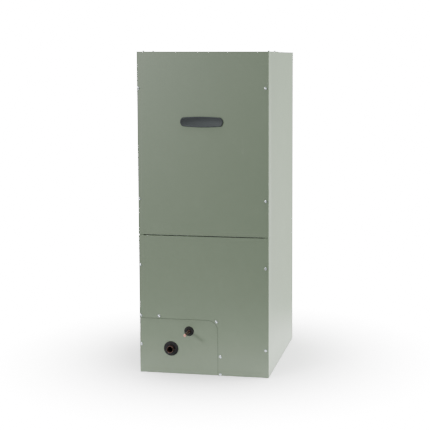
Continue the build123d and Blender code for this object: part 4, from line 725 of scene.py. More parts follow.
def turned(profile, steps=32, closed=False):
    """Turned form about Z, drawn ring by ring from (radius, height) pairs in millimetres."""
    point = 1e-5
    rings = [(max(radius * MM, point), height * MM) for radius, height in profile]
    radius, height = rings[0]
    deselect()
    bpy.ops.mesh.primitive_circle_add(vertices=steps, radius=radius, enter_editmode=True)
    bpy.ops.transform.translate(value=(0, 0, height))
    for next_radius, next_height in rings[1:]:
        bpy.ops.mesh.extrude_region_move(TRANSFORM_OT_translate={"value": (0, 0, next_height - height)})
        share = next_radius / radius
        if abs(share - 1) > 1e-9:
            bpy.ops.transform.resize(value=(share, share, 1), center_override=(0, 0, next_height))
        radius, height = next_radius, next_height
    tidy_mesh(1e-6 if closed else 2 * point)
    return bpy.context.object


def lathe(name, body, finish, profile, steps, place, angle=40.0, stands_for=(), closed=False):
    """Turned piece, smoothed, put in its place and dressed."""
    thing = turned(profile, steps, closed)
    if angle:
        smooth(thing, angle)
    return dress(seat(thing, place), name, body, finish, stands_for)


def prism(sides, radius, low, high, soft=0.0):
    """Upright prism or bar between two heights on Z."""
    deselect()
    bpy.ops.mesh.primitive_cylinder_add(vertices=sides, radius=radius, depth=high - low)
    thing = seat(bpy.context.object, (0, 0, (low + high) / 2))
    if soft:
        soften(thing, soft, 40)
    return thing


def block(low, high, soft=0.0, segments=2):
    """Box between two corners with its edges rounded."""
    low, high = Vector(low), Vector(high)
    deselect()
    bpy.ops.mesh.primitive_cube_add(size=1)
    size = Matrix.Diagonal((*(high - low), 1))
    thing = seat(bpy.context.object, Matrix.Translation((low + high) / 2) @ size)
    if soft:
        soften(thing, soft, segments=segments)
    return thing


def box_at(middle, half, soft=0.0):
    """Box round a middle, from half its sizes."""
    return block(Vector(middle) - Vector(half), Vector(middle) + Vector(half), soft)


def rounded_route(points, radius, steps=6):
    """Points along a route of straight runs and round bends."""
    points = [Vector(point) for point in points]
    route = [points[0]]
    longest = 0.49
    for before, corner, after in zip(points, points[1:], points[2:]):
        towards = (before - corner).normalized()
        away = (after - corner).normalized()
        half = towards.angle(away) / 2
        reach = min(
            radius / tan(half), (before - corner).length * longest, (after - corner).length * longest
        )
        bend = reach * tan(half)
        middle = corner + (towards + away).normalized() * (bend / sin(half))
        first = corner + towards * reach - middle
        last = corner + away * reach - middle
        for i in range(steps + 1):
            route.append(middle + first.slerp(last, i / steps).normalized() * first.length)
    return route + [points[-1]]


def tube(points, radius, bend, sides):
    """Round tube along a route, made a mesh; sides is the curve's bevel resolution."""
    deselect()
    bpy.ops.curve.primitive_nurbs_path_add()
    thing = bpy.context.object
    curve = thing.data
    curve.splines.clear()
    route = rounded_route(points, bend)
    spline = curve.splines.new("POLY")
    spline.points.add(len(route) - 1)
    for point, place in zip(spline.points, route):
        point.co = (*place, 1)
    curve.dimensions = "3D"
    curve.bevel_depth = radius
    curve.bevel_resolution = sides
    curve.use_fill_caps = True
    select(thing)
    bpy.ops.object.convert(target="MESH")
    bpy.ops.object.mode_set(mode="EDIT")
    tidy_mesh()
    return bpy.context.object


def traced(node):
    """Copy of a CAD node with its triangles merged into flat faces."""
    select(frame["nodes"][node])
    bpy.ops.object.duplicate(linked=False)
    thing = bpy.context.object
    for key in list(thing.keys()):
        del thing[key]
    world = thing.matrix_world.copy()
    thing.parent = None
    thing.matrix_world = world
    bpy.ops.object.mode_set(mode="EDIT")
    bpy.ops.mesh.select_all(action="SELECT")
    bpy.ops.mesh.remove_doubles(threshold=1e-6)
    bpy.ops.mesh.dissolve_limited(angle_limit=radians(0.5))
    bpy.ops.object.mode_set(mode="OBJECT")
    return thing


def sheet_piece(outline, thickness):
    """Flat piece of sheet with an outline in a plane across Y, grown towards the back."""
    deselect()
    bpy.ops.mesh.primitive_circle_add(vertices=len(outline), radius=1, fill_type="NGON")
    thing = bpy.context.object
    for vertex, place in zip(thing.data.vertices, outline):
        vertex.co = place
    bpy.ops.object.mode_set(mode="EDIT")
    bpy.ops.mesh.select_all(action="SELECT")
    bpy.ops.mesh.extrude_region_move(TRANSFORM_OT_translate={"value": (0, thickness, 0)})
    bpy.ops.mesh.select_all(action="SELECT")
    bpy.ops.mesh.normals_make_consistent(inside=False)
    bpy.ops.object.mode_set(mode="OBJECT")
    return thing


def softened(node, width=None, finish=None, angle=30.0, extra=()):
    """CAD node with every sharp edge rounded, in its own finish."""
    thing = join(traced(node), *extra)
    soften(thing, width or bpy.context.scene.air_handler_cabinet.fold, angle)
    smooth(thing, angle)
    modify(thing, "WEIGHTED_NORMAL", keep_sharp=True)
    slot = SLOT_OF[node]
    return dress(thing, node + "_piece", BODY_OF[node], finish or slot, (node,))


def repaint(*nodes):
    """CAD nodes whose shape is right take their detailed finish."""
    for node in nodes:
        thing = frame["nodes"][node]
        thing.data.materials.clear()
        thing.data.materials.append(finish_of(SLOT_OF[node]))


def slab_spot(along, across):
    """Place on the right slab's section, from its foot along its slope and across its thickness."""
    foot_z = SLAB_FOOT_Z + SLAB_HALF * sin(TILT)
    return (
        SLAB_FOOT_X - along * sin(TILT) + across * cos(TILT),
        foot_z + along * cos(TILT) + across * sin(TILT),
    )


def slab_at_height(height):
    """Middle of the right slab at a height."""
    return slab_spot((height - slab_spot(0, 0)[1]) / cos(TILT), 0)[0]


def on_axle(x, radius, angles, out):
    """Frames on a circle round the blower's axle."""
    return [
        facing((x, BLOWER_Y + radius * cos(radians(a)), BLOWER_Z + radius * sin(radians(a))), out)
        for a in angles
    ]


def hex_screw():
    """Hex washer head screw standing on Z = 0 with its threaded shank below."""
    look = bpy.context.scene.air_handler_cabinet
    rim, hexagon = look.washer_radius / MM, look.head_radius / MM
    washer = turned(
        [
            (0, 0), (rim * 0.96, 0), (rim, 0.25), (rim * 0.985, 0.6), (rim * 0.86, 0.9),
            (hexagon * 0.9, 0.95), (0, 0.95),
        ],
        28,
    )
    head = prism(6, look.head_radius, 0.0008, look.head_height)
    rim_width, slope_width, recess = look.head_radius * 0.28, look.head_radius * 0.12, 0.0004
    inset(head, lambda face: face.normal.z > 0.9, (rim_width, 0), (slope_width, -recess))
    soften(head, 0.00022, 40)
    rings = [(0, 0), (1.8, 0)]
    for i in range(7):
        rings += [(1.8, -0.9 - 1.2 * i), (2.05, -1.2 - 1.2 * i), (1.8, -1.5 - 1.2 * i)]
    screw = join(washer, head, turned(rings + [(1.4, -10.1), (0, -11)], 12))
    smooth(screw, 30)
    return screw


def driven_screws(name, body, frames, stands_for=()):
    """Screws driven home, of which only head and washer are left."""
    screw = hex_screw()
    remove_faces(screw, lambda face: face.center.z < -0.0001)
    dress(copies(screw, frames), name, body, "zinc", stands_for)


def screws_on_front(name, body, node, spots, seat_y):
    """Screws set in the front, each turned a little differently."""
    frames = [
        Matrix.Translation((x * MM, seat_y, z * MM))
        @ Matrix.Rotation(radians(90), 4, "X")
        @ Matrix.Rotation(radians(SCREW_TURN * i), 4, "Z")
        for i, (x, z) in enumerate(spots)
    ]
    dress(copies(hex_screw(), frames), name, body, "zinc", (node,))


class AIRHANDLER_OT_stage(bpy.types.Operator):
    """Set the camera, the plain floor and the soft studio light"""

    bl_idname = "air_handler.stage"
    bl_label = "Stage"

    def execute(self, context):
        look = context.scene.air_handler_studio
        deselect()
        bpy.ops.object.camera_add(
            location=CAMERA_PLACE, rotation=(radians(CAMERA_TILT), 0, radians(CAMERA_TURN))
        )
        camera = context.object
        camera.data.sensor_width = SENSOR_WIDTH
        camera.data.lens = look.lens
        camera.data.shift_x, camera.data.shift_y = CAMERA_SHIFT
        context.scene.camera = camera

        bpy.ops.mesh.primitive_plane_add(size=FLOOR_SIZE)
        floor = seat(context.object, FLOOR_PLACE)
        floor.name = "floor"
        ground = Finish("studio_floor", rough=0.9)
        ground.set(Base_Color=ground.blend(ground.noise(3.0, 2.0), (0.93, 0.93, 0.93), (0.95, 0.95, 0.95)))
        across, back = ground.along("X"), ground.along("Y")
        far = (across * across + back * back) ** 0.5
        ground.set(Alpha=1.0 - far.band(look.floor_clear, look.floor_end))
        ground.set(Emission_Color=(1.0, 1.0, 1.0), Emission_Strength=look.floor_glow)
        floor.data.materials.append(ground.material)

        world = bpy.data.worlds.new("studio")
        world.use_nodes = True
        nodes, links = world.node_tree.nodes, world.node_tree.links
        mix = nodes.new("ShaderNodeMixShader")
        links.new(nodes.new("ShaderNodeLightPath").outputs["Is Camera Ray"], mix.inputs[0])
        surrounds = (nodes["Background"], look.sky), (nodes.new("ShaderNodeBackground"), look.backdrop)
        for i, (surround, strength) in enumerate(surrounds):
            surround.inputs[0].default_value = (1, 1, 1, 1)
            surround.inputs[1].default_value = strength
            links.new(surround.outputs[0], mix.inputs[i + 1])
        links.new(mix.outputs[0], nodes["World Output"].inputs[0])
        context.scene.world = world

        for name, place, size, power in (
            ("key", (-2.3, -3.0, 1.7), 0.75, look.key_power),
            ("side", (2.6, 0.7, 0.3), 1.2, look.side_power),
            ("top", (0.2, 0.6, 4.2), 4.0, look.top_power),
        ):
            bpy.ops.object.light_add(type="AREA", location=place)
            lamp = context.object
            lamp.name = name + "_light"
            lamp.data.size = size
            lamp.data.energy = power
            aim = Vector(LIGHT_TARGET) - Vector(place)
            lamp.rotation_euler = aim.to_track_quat("-Z", "Y").to_euler()
        return {"FINISHED"}


class AIRHANDLER_OT_cabinet(bpy.types.Operator):
    """Round the folds of the cabinet's fixed sheets"""

    bl_idname = "air_handler.cabinet"
    bl_label = "Cabinet sheets"

    def execute(self, context):
        for node in (
            "base_frame", "side_panel_left", "side_panel_right", "back_panel", "top_panel", "top_front_cover",
            "front_rails", "filter_rails", "pan_rails", "blower_rails",
        ):
            softened(node)
        return {"FINISHED"}


class AIRHANDLER_OT_doors(bpy.types.Operator):
    """Round the folds of the two lift-off doors and the piping panel"""

    bl_idname = "air_handler.doors"
    bl_label = "Doors"

    def execute(self, context):
        for node in ("upper_panel", "lower_panel"):
            door = softened(node)
            # Painted light: the doors' sideways faces take a lighter copy of their paint
            second_finish(door, "painted_light_side_paint", lambda face: abs(face.normal.x) > 0.9)
        # The piping panel's paint carries a painted shadow along the door's notch
        softened("piping_panel", finish="notch_shadow_paint")
        return {"FINISHED"}


class AIRHANDLER_OT_screws(bpy.types.Operator):
    """Set the hex washer head screws of the front"""

    bl_idname = "air_handler.screws"
    bl_label = "Screws"

    def execute(self, context):
        screws_on_front("upper_door_screws", "upper_door", "upper_panel_screws", UPPER_SCREWS, FRONT_Y)
        screws_on_front("lower_door_screws", "lower_door", "lower_panel_screws", LOWER_SCREWS, FRONT_Y)
        screws_on_front("piping_screw", "piping", "piping_panel_screw", PIPING_SCREWS, PIPING_Y)
        return {"FINISHED"}


class AIRHANDLER_OT_badge(bpy.types.Operator):
    """Shape the bare capsule plate on the upper door"""

    bl_idname = "air_handler.badge"
    bl_label = "Bare plate"

    def execute(self, context):
        thing = traced("badge_plate")
        soften(thing, 0.0014, 50, 3)
        front = corners("badge_plate")[0].y
        inset(
            thing,
            lambda face: face.normal.y < -0.99 and abs(face.center.y - front) < 1e-5,
            (0.0022, 0),
            (0.0004, -0.0004),
        )
        smooth(thing, 30)
        dress(thing, "bare_plate", "upper_door", "plate", ("badge_plate",))
        return {"FINISHED"}


class AIRHANDLER_OT_piping(bpy.types.Operator):
    """Turn the two grommets of the piping panel"""

    bl_idname = "air_handler.piping"
    bl_label = "Piping"

    def execute(self, context):
        for line, x, z, lip, neck, bore in (
            ("liquid", LIQUID_X, LIQUID_Z, 17.5, 14.0, 5.86),
            ("suction", SUCTION_X, SUCTION_Z, 26.5, 22.5, 12.45),
        ):
            profile = [
                (bore, -2.2), (bore, 1.6), (bore + 0.8, 2.4), (bore + 2.4, 2.5),
                (lip * 0.55 + bore * 0.45, 1.9), (lip - 2.2, 2.1), (lip - 0.6, 1.6), (lip, 0.6),
                (lip - 0.3, 0), (neck, 0), (neck, -1), (lip - 0.6, -1), (lip - 0.2, -2),
                (lip - 1.6, -2.9), (bore + 1, -3), (bore, -2.2),
            ]
            place = facing((x, PIPING_Y, z), FORWARD)
            node = line + "_grommet"
            lathe(line + "_ring", "piping", "rubber", profile, 56, place, 40, (node,), closed=True)
        return {"FINISHED"}


class AIRHANDLER_OT_stubs(bpy.types.Operator):
    """Draw the suction and liquid lines as round copper tubes"""

    bl_idname = "air_handler.stubs"
    bl_label = "Pipe stubs"

    def execute(self, context):
        place = facing((SUCTION_X, BRANCH_Y, SUCTION_Z), FORWARD)
        stands_for = ("suction_line",)
        # The suction bell's copper is darkened as painted shade for the dark reflections on the stub
        lathe("suction_bell", "cabinet", "painted_shade_copper", SUCTION_BELL, 48, place, 40, stands_for)
        lathe("suction_throat", "cabinet", "dark_inside", SUCTION_THROAT, 32, place, None)
        tip_y, overlap, bend = LIQUID_FRONT_Y + 0.0014, 0.00002, 0.014
        route = [
            (LIQUID_X, tip_y, LIQUID_Z),
            (LIQUID_X, LINE_Y, LIQUID_Z),
            (VALVE_X, LINE_Y, LIQUID_Z),
            (VALVE_X, LINE_Y, VALVE_FOOT_Z),
        ]
        line = tube(route, context.scene.air_handler_coil.tube_radius, bend, 6)
        swage = seat(turned(LIQUID_SWAGE), facing((LIQUID_X, LIQUID_SWAGE_Y, LIQUID_Z), FORWARD))
        run = join(line, swage)
        smooth(run, 50)
        # The liquid run's copper is darkened as painted shade for the dark reflections on the stub
        dress(run, "liquid_run", "cabinet", "painted_shade_copper", ("liquid_line",))
        place = facing((LIQUID_X, tip_y - overlap, LIQUID_Z), FORWARD)
        lathe("liquid_tip", "cabinet", "copper_tip", LIQUID_TIP, 32, place, 50)
        return {"FINISHED"}


class AIRHANDLER_OT_linings(bpy.types.Operator):
    """Soften the foil-faced insulation and show the raw fibre at its cut edges"""

    bl_idname = "air_handler.linings"
    bl_label = "Linings"

    def execute(self, context):
        for node in ("liner_upper", "liner_lower"):
            piece = softened(node, 0.0012)
            second_finish(piece, "raw_fibre", lambda face: face.normal.y < -0.8 and face.center.y < -0.2)
        for node in ("upper_insulation", "lower_insulation"):
            piece = softened(node, 0.0012)
            second_finish(
                piece, "raw_fibre", lambda face: abs(face.normal.x) > 0.8 or abs(face.normal.z) > 0.8
            )
        return {"FINISHED"}


class AIRHANDLER_OT_filter(bpy.types.Operator):
    """Finish the card frame, pleats and straps of the filter"""

    bl_idname = "air_handler.filter"
    bl_label = "Filter"

    def execute(self, context):
        softened("filter_frame", 0.0008)
        softened("filter_media", 0.0003)
        low, high = corners("filter_frame")
        inner, half, thickness = 0.0195, 0.007, 0.0014
        straps = []
        for z in (high.z - 0.0016, low.z + 0.0001):
            for i in range(1, 5):
                y = low.y + inner + (high.y - low.y - 2 * inner) * i / 5
                straps.append(
                    block((low.x + inner, y - half, z), (high.x - inner, y + half, z + thickness), 0.0003)
                )
        dress(join(*straps), "filter_straps", "filter", "filter_frame")
        edge = 0.001
        tape = [
            block((x, low.y + edge, high.z - 0.0002), (x + 0.002, high.y - edge, high.z), 0.0001)
            for x in (low.x + edge, high.x - 0.004 + edge)
        ]
        dress(join(*tape), "filter_edge_tape", "filter", "filter_frame")
        return {"FINISHED"}


class AIRHANDLER_OT_pan(bpy.types.Operator):
    """Soften the moulded drain pan and cut the thread of its port"""

    bl_idname = "air_handler.pan"
    bl_label = "Drain pan"

    def execute(self, context):
        softened("drain_pan", 0.0011)
        rings = []
        for i in range(9):
            z = 1.8 * i
            rings += [(12.15, z), (11.55, z + 0.6), (11.55, z + 1), (12.15, z + 1.6)]
        for name, profile, x in (("drain_thread", rings, -0.2185), ("drain_rim", DRAIN_RIM, -0.2346)):
            lathe(name, "cabinet", "pan_plastic", profile, 40, facing((x, DRAIN_Y, DRAIN_Z), LEFT), 50)
        return {"FINISHED"}


class AIRHANDLER_OT_coil(bpy.types.Operator):
    """Stack the coil's fins on their tubes and bend the return tubes"""

    bl_idname = "air_handler.coil"
    bl_label = "Coil"

    def execute(self, context):
        look = context.scene.air_handler_coil
        for node in ("coil_end_plates", "coil_top_cap"):
            softened(node)
        gusset = [(0.0160, 0.3836), (0.0089, 0.4110), (0.0480, 0.4250), (0.0480, 0.4284)]
        outline = gusset + [(-x, z) for x, z in reversed(gusset)]
        gap = 0.0001
        sheets = [
            sheet_piece([(x, y, z) for x, z in outline], TUBE_SHEET)
            for y in (COIL_FRONT_Y + gap, COIL_BACK_Y - TUBE_SHEET - gap)
        ]
        softened("delta_plates", extra=sheets)
        self.slabs(look)
        front = [(i + 0.5, 0) for i in range(TUBE_COUNT)]
        back = [(2 * i + 1, row * 0.5) for i in range(TUBE_COUNT // 2) for row in (-1, 1)]
        self.bends(look, "front_bends", front, COIL_FRONT_Y - TUBE_SHEET, -1)
        self.bends(look, "back_bends", back, COIL_BACK_Y + TUBE_SHEET, 1)
        return {"FINISHED"}

    def slabs(self, look):
        """Both slabs' fins and the tubes through them."""
        count = int((COIL_BACK_Y - COIL_FRONT_Y) / look.fin_pitch)
        margin = 0.0006
        lying = Matrix.Rotation(radians(-90), 4, "X")
        for side, node in ((1, "coil_slab_right"), (-1, "coil_slab_left")):
            fin = block((-SLAB_HALF, 0, 0), (SLAB_HALF, look.fin_sheet, SLAB_LENGTH))
            inset(fin, lambda face: abs(face.normal.x) > 0.9, cuts=1)
            x, z = slab_spot(0, 0)
            place = Matrix.Translation((side * x, COIL_FRONT_Y + margin, z))
            seat(fin, place @ Matrix.Rotation(-side * TILT, 4, "Y"))
            pitch = (0, look.fin_pitch, 0)
            modify(
                fin, "ARRAY", count=count, use_relative_offset=False, use_constant_offset=True,
                constant_offset_displace=pitch,
            )
            dress(fin, node + "_fins", "cabinet", "fins", (node,))
            frames = []
            for i in range(TUBE_COUNT):
                for row in (-1, 1):
                    x, z = slab_spot((i + 0.5) * TUBE_PITCH, row * ROW_GAP / 2)
                    frames.append(Matrix.Translation((side * x, 0, z)) @ lying)
            bars = copies(prism(14, look.tube_radius, COIL_FRONT_Y, COIL_BACK_Y), frames)
            smooth(bars)
            dress(bars, node + "_tubes", "cabinet", "copper")

    def bends(self, look, name, spots, y, out):
        """Return bends at the spots of both slabs, given in tube pitches along and row gaps across."""
        reach = SLAB_HALF - look.tube_radius
        half, root = ROW_GAP / 2, -0.001
        route = [(-half, 0, root), (-half, 0, reach), (half, 0, reach), (half, 0, root)]
        bend = tube(route, look.tube_radius, half, 3)
        bend = join(bend, copies(turned(BEND_COLLAR, 16), [(-half, 0, 0), (half, 0, 0)]))
        smooth(bend, 50)
        frames = []
        for along, across in spots:
            for side in (1, -1):
                x, z = slab_spot(along * TUBE_PITCH, across * ROW_GAP)
                if out < 0:
                    lie = Vector((side * cos(TILT), 0, sin(TILT)))
                else:
                    lie = Vector((-side * sin(TILT), 0, cos(TILT)))
                away = Vector((0, out, 0))
                turn = Matrix((lie, away.cross(lie), away)).transposed().to_4x4()
                frames.append(Matrix.Translation((side * x, y, z)) @ turn)
        stands_for = ("return_bends",) if out < 0 else ()
        dress(copies(bend, frames), name, "cabinet", "copper", stands_for)


class AIRHANDLER_OT_lines(bpy.types.Operator):
    """Draw the suction headers, metering valve, distributor and feeder tubes"""

    bl_idname = "air_handler.lines"
    bl_label = "Coil lines"

    def execute(self, context):
        radius, bend, past_stub = 0.0111, 0.022, 0.006
        top_z = slab_spot((FIRST_RUNG + 2) * TUBE_PITCH, 0)[1] + past_stub
        top_x, corner_x = slab_at_height(top_z), slab_at_height(SUCTION_Z)
        route = [(-top_x, top_z), (-corner_x, SUCTION_Z), (corner_x, SUCTION_Z), (top_x, top_z)]
        parts = [tube([(x, LINE_Y, z) for x, z in route], radius, bend, 7)]
        reach = (COIL_FRONT_Y - TUBE_SHEET - LINE_Y) / MM
        for side in (-1, 1):
            lean = (-side * sin(TILT), 0, cos(TILT))
            parts.append(seat(turned(HEADER_CAP), facing((side * top_x, LINE_Y, top_z), lean, BACKWARD)))
            for i in range(3):
                x, z = slab_spot((FIRST_RUNG + i) * TUBE_PITCH, 0)
                stub = turned([(6.4, 8.6), (5.2, 12.8), (4.76, 13.2), (4.76, reach)], 20)
                parts.append(seat(stub, facing((side * x, LINE_Y, z), BACKWARD)))
        branch = turned([(12.5, 8), (11.6, 10.4), (11.1, 11), (11.1, (LINE_Y - BRANCH_Y) / MM)])
        whole = join(*parts, seat(branch, facing((SUCTION_X, LINE_Y, SUCTION_Z), FORWARD)))
        smooth(whole, 50)
        dress(whole, "suction_headers", "cabinet", "copper", ("suction_manifold",))

        nuts = copies(prism(6, 0.0119, 0.0, 0.0118, 0.0007), [(0, 0, 0), (0, 0, VALVE_LENGTH - 0.012)])
        valve = join(turned(VALVE_BODY, 36), nuts)
        smooth(valve)
        seat(valve, (VALVE_X, LINE_Y, VALVE_FOOT_Z))
        dress(valve, "metering_body", "cabinet", "brass", ("metering_valve",))
        place = (VALVE_X, LINE_Y, VALVE_FOOT_Z + VALVE_LENGTH)
        lathe("distributor_cone", "cabinet", "brass", DISTRIBUTOR, 40, place, 40, ("distributor",))
        top = VALVE_FOOT_Z + VALVE_LENGTH + 0.030
        offset, radius, bend = 0.007, 0.0023, 0.012
        feeders = []
        for side in (-1, 1):
            for hand, share in ((1, 0.74), (-1, 0.9)):
                x, z = slab_spot(share * SLAB_LENGTH, -0.0196)
                y = LINE_Y + hand * offset
                start = VALVE_X + side * offset
                route = [
                    (start, y, top - 0.001), (start, y, top + 0.024), (side * x, y, z),
                    (side * x, COIL_FRONT_Y - TUBE_SHEET, z),
                ]
                feeders.append(tube(route, radius, bend, 3))
        feeders = join(*feeders)
        smooth(feeders, 50)
        dress(feeders, "feeder_lines", "cabinet", "copper", ("feeder_tubes",))
        return {"FINISHED"}


class AIRHANDLER_OT_controls(bpy.types.Operator):
    """Fill the control space with its board, transformer, terminals, relay and leads"""

    bl_idname = "air_handler.controls"
    bl_label = "Controls"

    def execute(self, context):
        for node in ("control_bulkhead", "heater_blank_plate", "control_box"):
            softened(node)
        low, high = corners("heater_blank_plate")
        edge = 0.007
        frames = [
            facing((x, low.y, z), FORWARD)
            for x in (low.x + edge, high.x - edge)
            for z in (low.z + edge, (low.z + high.z) / 2, high.z - edge)
        ]
        driven_screws("heater_plate_screws", "cabinet", frames)
        self.board()
        self.transformer()
        self.terminals()
        self.relay()
        self.leads()
        return {"FINISHED"}

    def board(self):
        """Circuit board on its posts, with its relays, chips, cans, tabs and strip of sockets."""
        low, high = corners("control_board")
        middle = (low + high) / 2
        sheet, post, edge = 0.0016, 0.008, 0.006
        face = high.y - post - sheet
        board = block((low.x, face, low.z), (high.x, face + sheet, high.z), 0.0002)
        dress(board, "board_sheet", "cabinet", "board", ("control_board",))
        frames = [
            facing((x, high.y, z), FORWARD)
            for x in (low.x + edge, high.x - edge)
            for z in (low.z + edge, high.z - edge)
        ]
        dress(copies(turned(BOARD_POST, 14), frames), "board_posts", "cabinet", "ivory_plastic")

        def on_board(across, up, width, height, rise, soft):
            """Box on the board's face, in millimetres from the board's middle."""
            corner = Vector((middle.x + across * MM, face - rise * MM, middle.z + up * MM))
            return block(corner, corner + Vector((width, rise, height)) * MM, soft * MM)

        strip = block(
            (middle.x - 0.039, face - 0.012, low.z + 0.005), (middle.x + 0.039, face, low.z + 0.015), 0.0005
        )
        inset(
            strip, lambda part: part.normal.y < -0.9, (0.0008, 0), (0.0002, -0.002), cuts=6, single=True
        )
        boxes = [
            on_board(*place)
            for place in (
                (-40, -10, 16, 20, 16, 0.8), (-8, -10, 16, 20, 16, 0.8), (24, -10, 16, 20, 16, 0.8),
                (-45, 18, 18, 10, 4, 0.3), (20, 18, 11, 11, 4, 0.3), (-46, -26, 12, 7, 4, 0.3),
                (30, -24, 13, 7, 4, 0.3),
            )
        ]
        dress(join(strip, *boxes), "board_parts", "cabinet", "black_plastic")
        frames = [
            facing((middle.x + across, face, middle.z + up), FORWARD)
            for across, up in ((-0.018, 0.026), (-0.006, 0.026), (0.044, 0.004))
        ]
        cans = copies(turned(BOARD_CAN, 24), frames)
        smooth(cans)
        dress(cans, "board_cans", "cabinet", "ivory_plastic")
        tabs = [on_board(across, -20, 6.3, 0.8, 9, 0.1) for across in (-30, -18, -6, 6, 18)]
        dress(join(*tabs), "board_tabs", "cabinet", "brass")

    def transformer(self):
        low, high = corners("transformer")
        middle = (low + high) / 2
        half, plate = 0.031, 0.001
        back = high.y - plate
        core = block((middle.x - half, back - 0.022, low.z), (middle.x + half, back, high.z), 0.0006)
        inset(core, lambda part: abs(part.normal.y) > 0.9, (0.0085, 0), (0.0004, -0.0008))
        foot = block((low.x, back, middle.z - 0.013), (high.x, high.y, middle.z + 0.013), 0.0003)
        dress(join(core, foot), "transformer_core", "cabinet", "motor_paint", ("transformer",))
        winding = block(
            (middle.x - 0.019, low.y, low.z + plate), (middle.x + 0.019, back, high.z - plate), 0.005, 4
        )
        smooth(winding)
        dress(winding, "transformer_winding", "cabinet", "winding_tape")

    def terminals(self):
        """Terminal block with its ribs, clamps and slotless screws."""
        low, high = corners("terminal_block")
        floor, edge = low.y + 0.008, 0.0014
        body = block((low.x, floor, low.z), (high.x, high.y, high.z), 0.0008)
        ribs = [
            block((x - 0.00125, low.y, low.z), (x + 0.00125, low.y + 0.009, high.z), 0.0004)
            for x in (low.x + edge, (low.x + high.x) / 2, high.x - edge)
        ]
        dress(join(body, *ribs), "terminal_body", "cabinet", "black_plastic", ("terminal_block",))
        spots = [
            (low.x * (1 - share) + high.x * share, z)
            for share in (0.27, 0.73)
            for z in (low.z + 0.008, high.z - 0.008)
        ]
        face = floor - 0.0015
        clamps = [
            block((x - 0.0085, face, z - 0.0055), (x + 0.0085, floor, z + 0.0055), 0.0003) for x, z in spots
        ]
        heads = copies(turned(CLAMP_SCREW, 20), [facing((x, face, z), FORWARD) for x, z in spots])
        dress(join(heads, *clamps), "terminal_clamps", "cabinet", "zinc")

    def relay(self):
        low, high = corners("relay")
        case = block((low.x, low.y + 0.008, low.z), high, 0.0012, 3)
        dress(case, "relay_case", "cabinet", "black_plastic", ("relay",))
        prongs = [
            block((x - 0.0004, low.y, z - 0.0031), (x + 0.0004, low.y + 0.009, z + 0.0031), 0.0001)
            for x in (low.x + 0.0075, high.x - 0.0075)
            for z in (low.z + 0.010, high.z - 0.010)
        ]
        dress(join(*prongs), "relay_prongs", "cabinet", "brass")

    def leads(self):
        """Leads between the controls, each with its own colour and its own sag.

        A point is a column and the millimetres right of it, the millimetres behind the face of the
        leads, and a row and the millimetres over it.
        """
        board, board_end = corners("control_board")
        terminal, terminal_end = corners("terminal_block")
        relay, relay_end = corners("relay")
        coil, coil_end = corners("transformer")
        face, radius, bend = -0.125, 0.0014, 0.008
        column = {
            "coil": (coil.x + coil_end.x) / 2, "board": board.x, "end": board_end.x,
            "terminal": (terminal.x + terminal_end.x) / 2,
            "relay": (relay.x + relay_end.x) / 2, "side": relay.x,
        }
        row = {
            "coil": coil_end.z, "gap": (coil_end.z + board.z) / 2, "strip": board.z + 0.010,
            "terminal": terminal_end.z, "relay": relay.z, "top": board_end.z,
        }
        routes = {
            "red": [
                ("coil", -8, 6, "coil", -4), ("coil", -8, 6, "gap", 0), ("board", 36, 0, "gap", 2),
                ("board", 36, 6, "strip", 0),
            ],
            "blue": [
                ("coil", 2, 6, "coil", -4), ("coil", 2, 5, "gap", -3), ("board", 47, 3, "gap", 1),
                ("board", 47, 6, "strip", 0),
            ],
            "black": [
                ("coil", 12, 6, "coil", -4), ("coil", 12, 2, "gap", -5), ("terminal", -12, 2, "gap", -5),
                ("terminal", -12, 6, "terminal", -6),
            ],
            "white": [
                ("terminal", 12, 6, "terminal", -6), ("terminal", 14, 0, "terminal", 7),
                ("relay", 7, -4, "relay", -2), ("relay", 7, -8, "relay", 8),
            ],
            "yellow": [
                ("board", 60, 6, "strip", 0), ("board", 60, 0, "gap", 4), ("side", -6, -2, "gap", 4),
                ("relay", -7.5, -8, "relay", 12),
            ],
            "green": [
                ("board", 72, 6, "strip", 0), ("board", 74, 2, "gap", 6), ("end", 4, 2, "gap", 10),
                ("end", 6, 6, "top", 4), ("end", 4, 25, "top", 6),
            ],
        }
        stands_for = ("control_wiring",)
        for colour, route in routes.items():
            points = [
                (column[x] + right * MM, face + behind * MM, row[z] + over * MM)
                for x, right, behind, z, over in route
            ]
            lead = tube(points, radius, bend, 2)
            smooth(lead, 60)
            dress(lead, "lead_" + colour, "cabinet", "wire_" + colour, stands_for)
            stands_for = ()


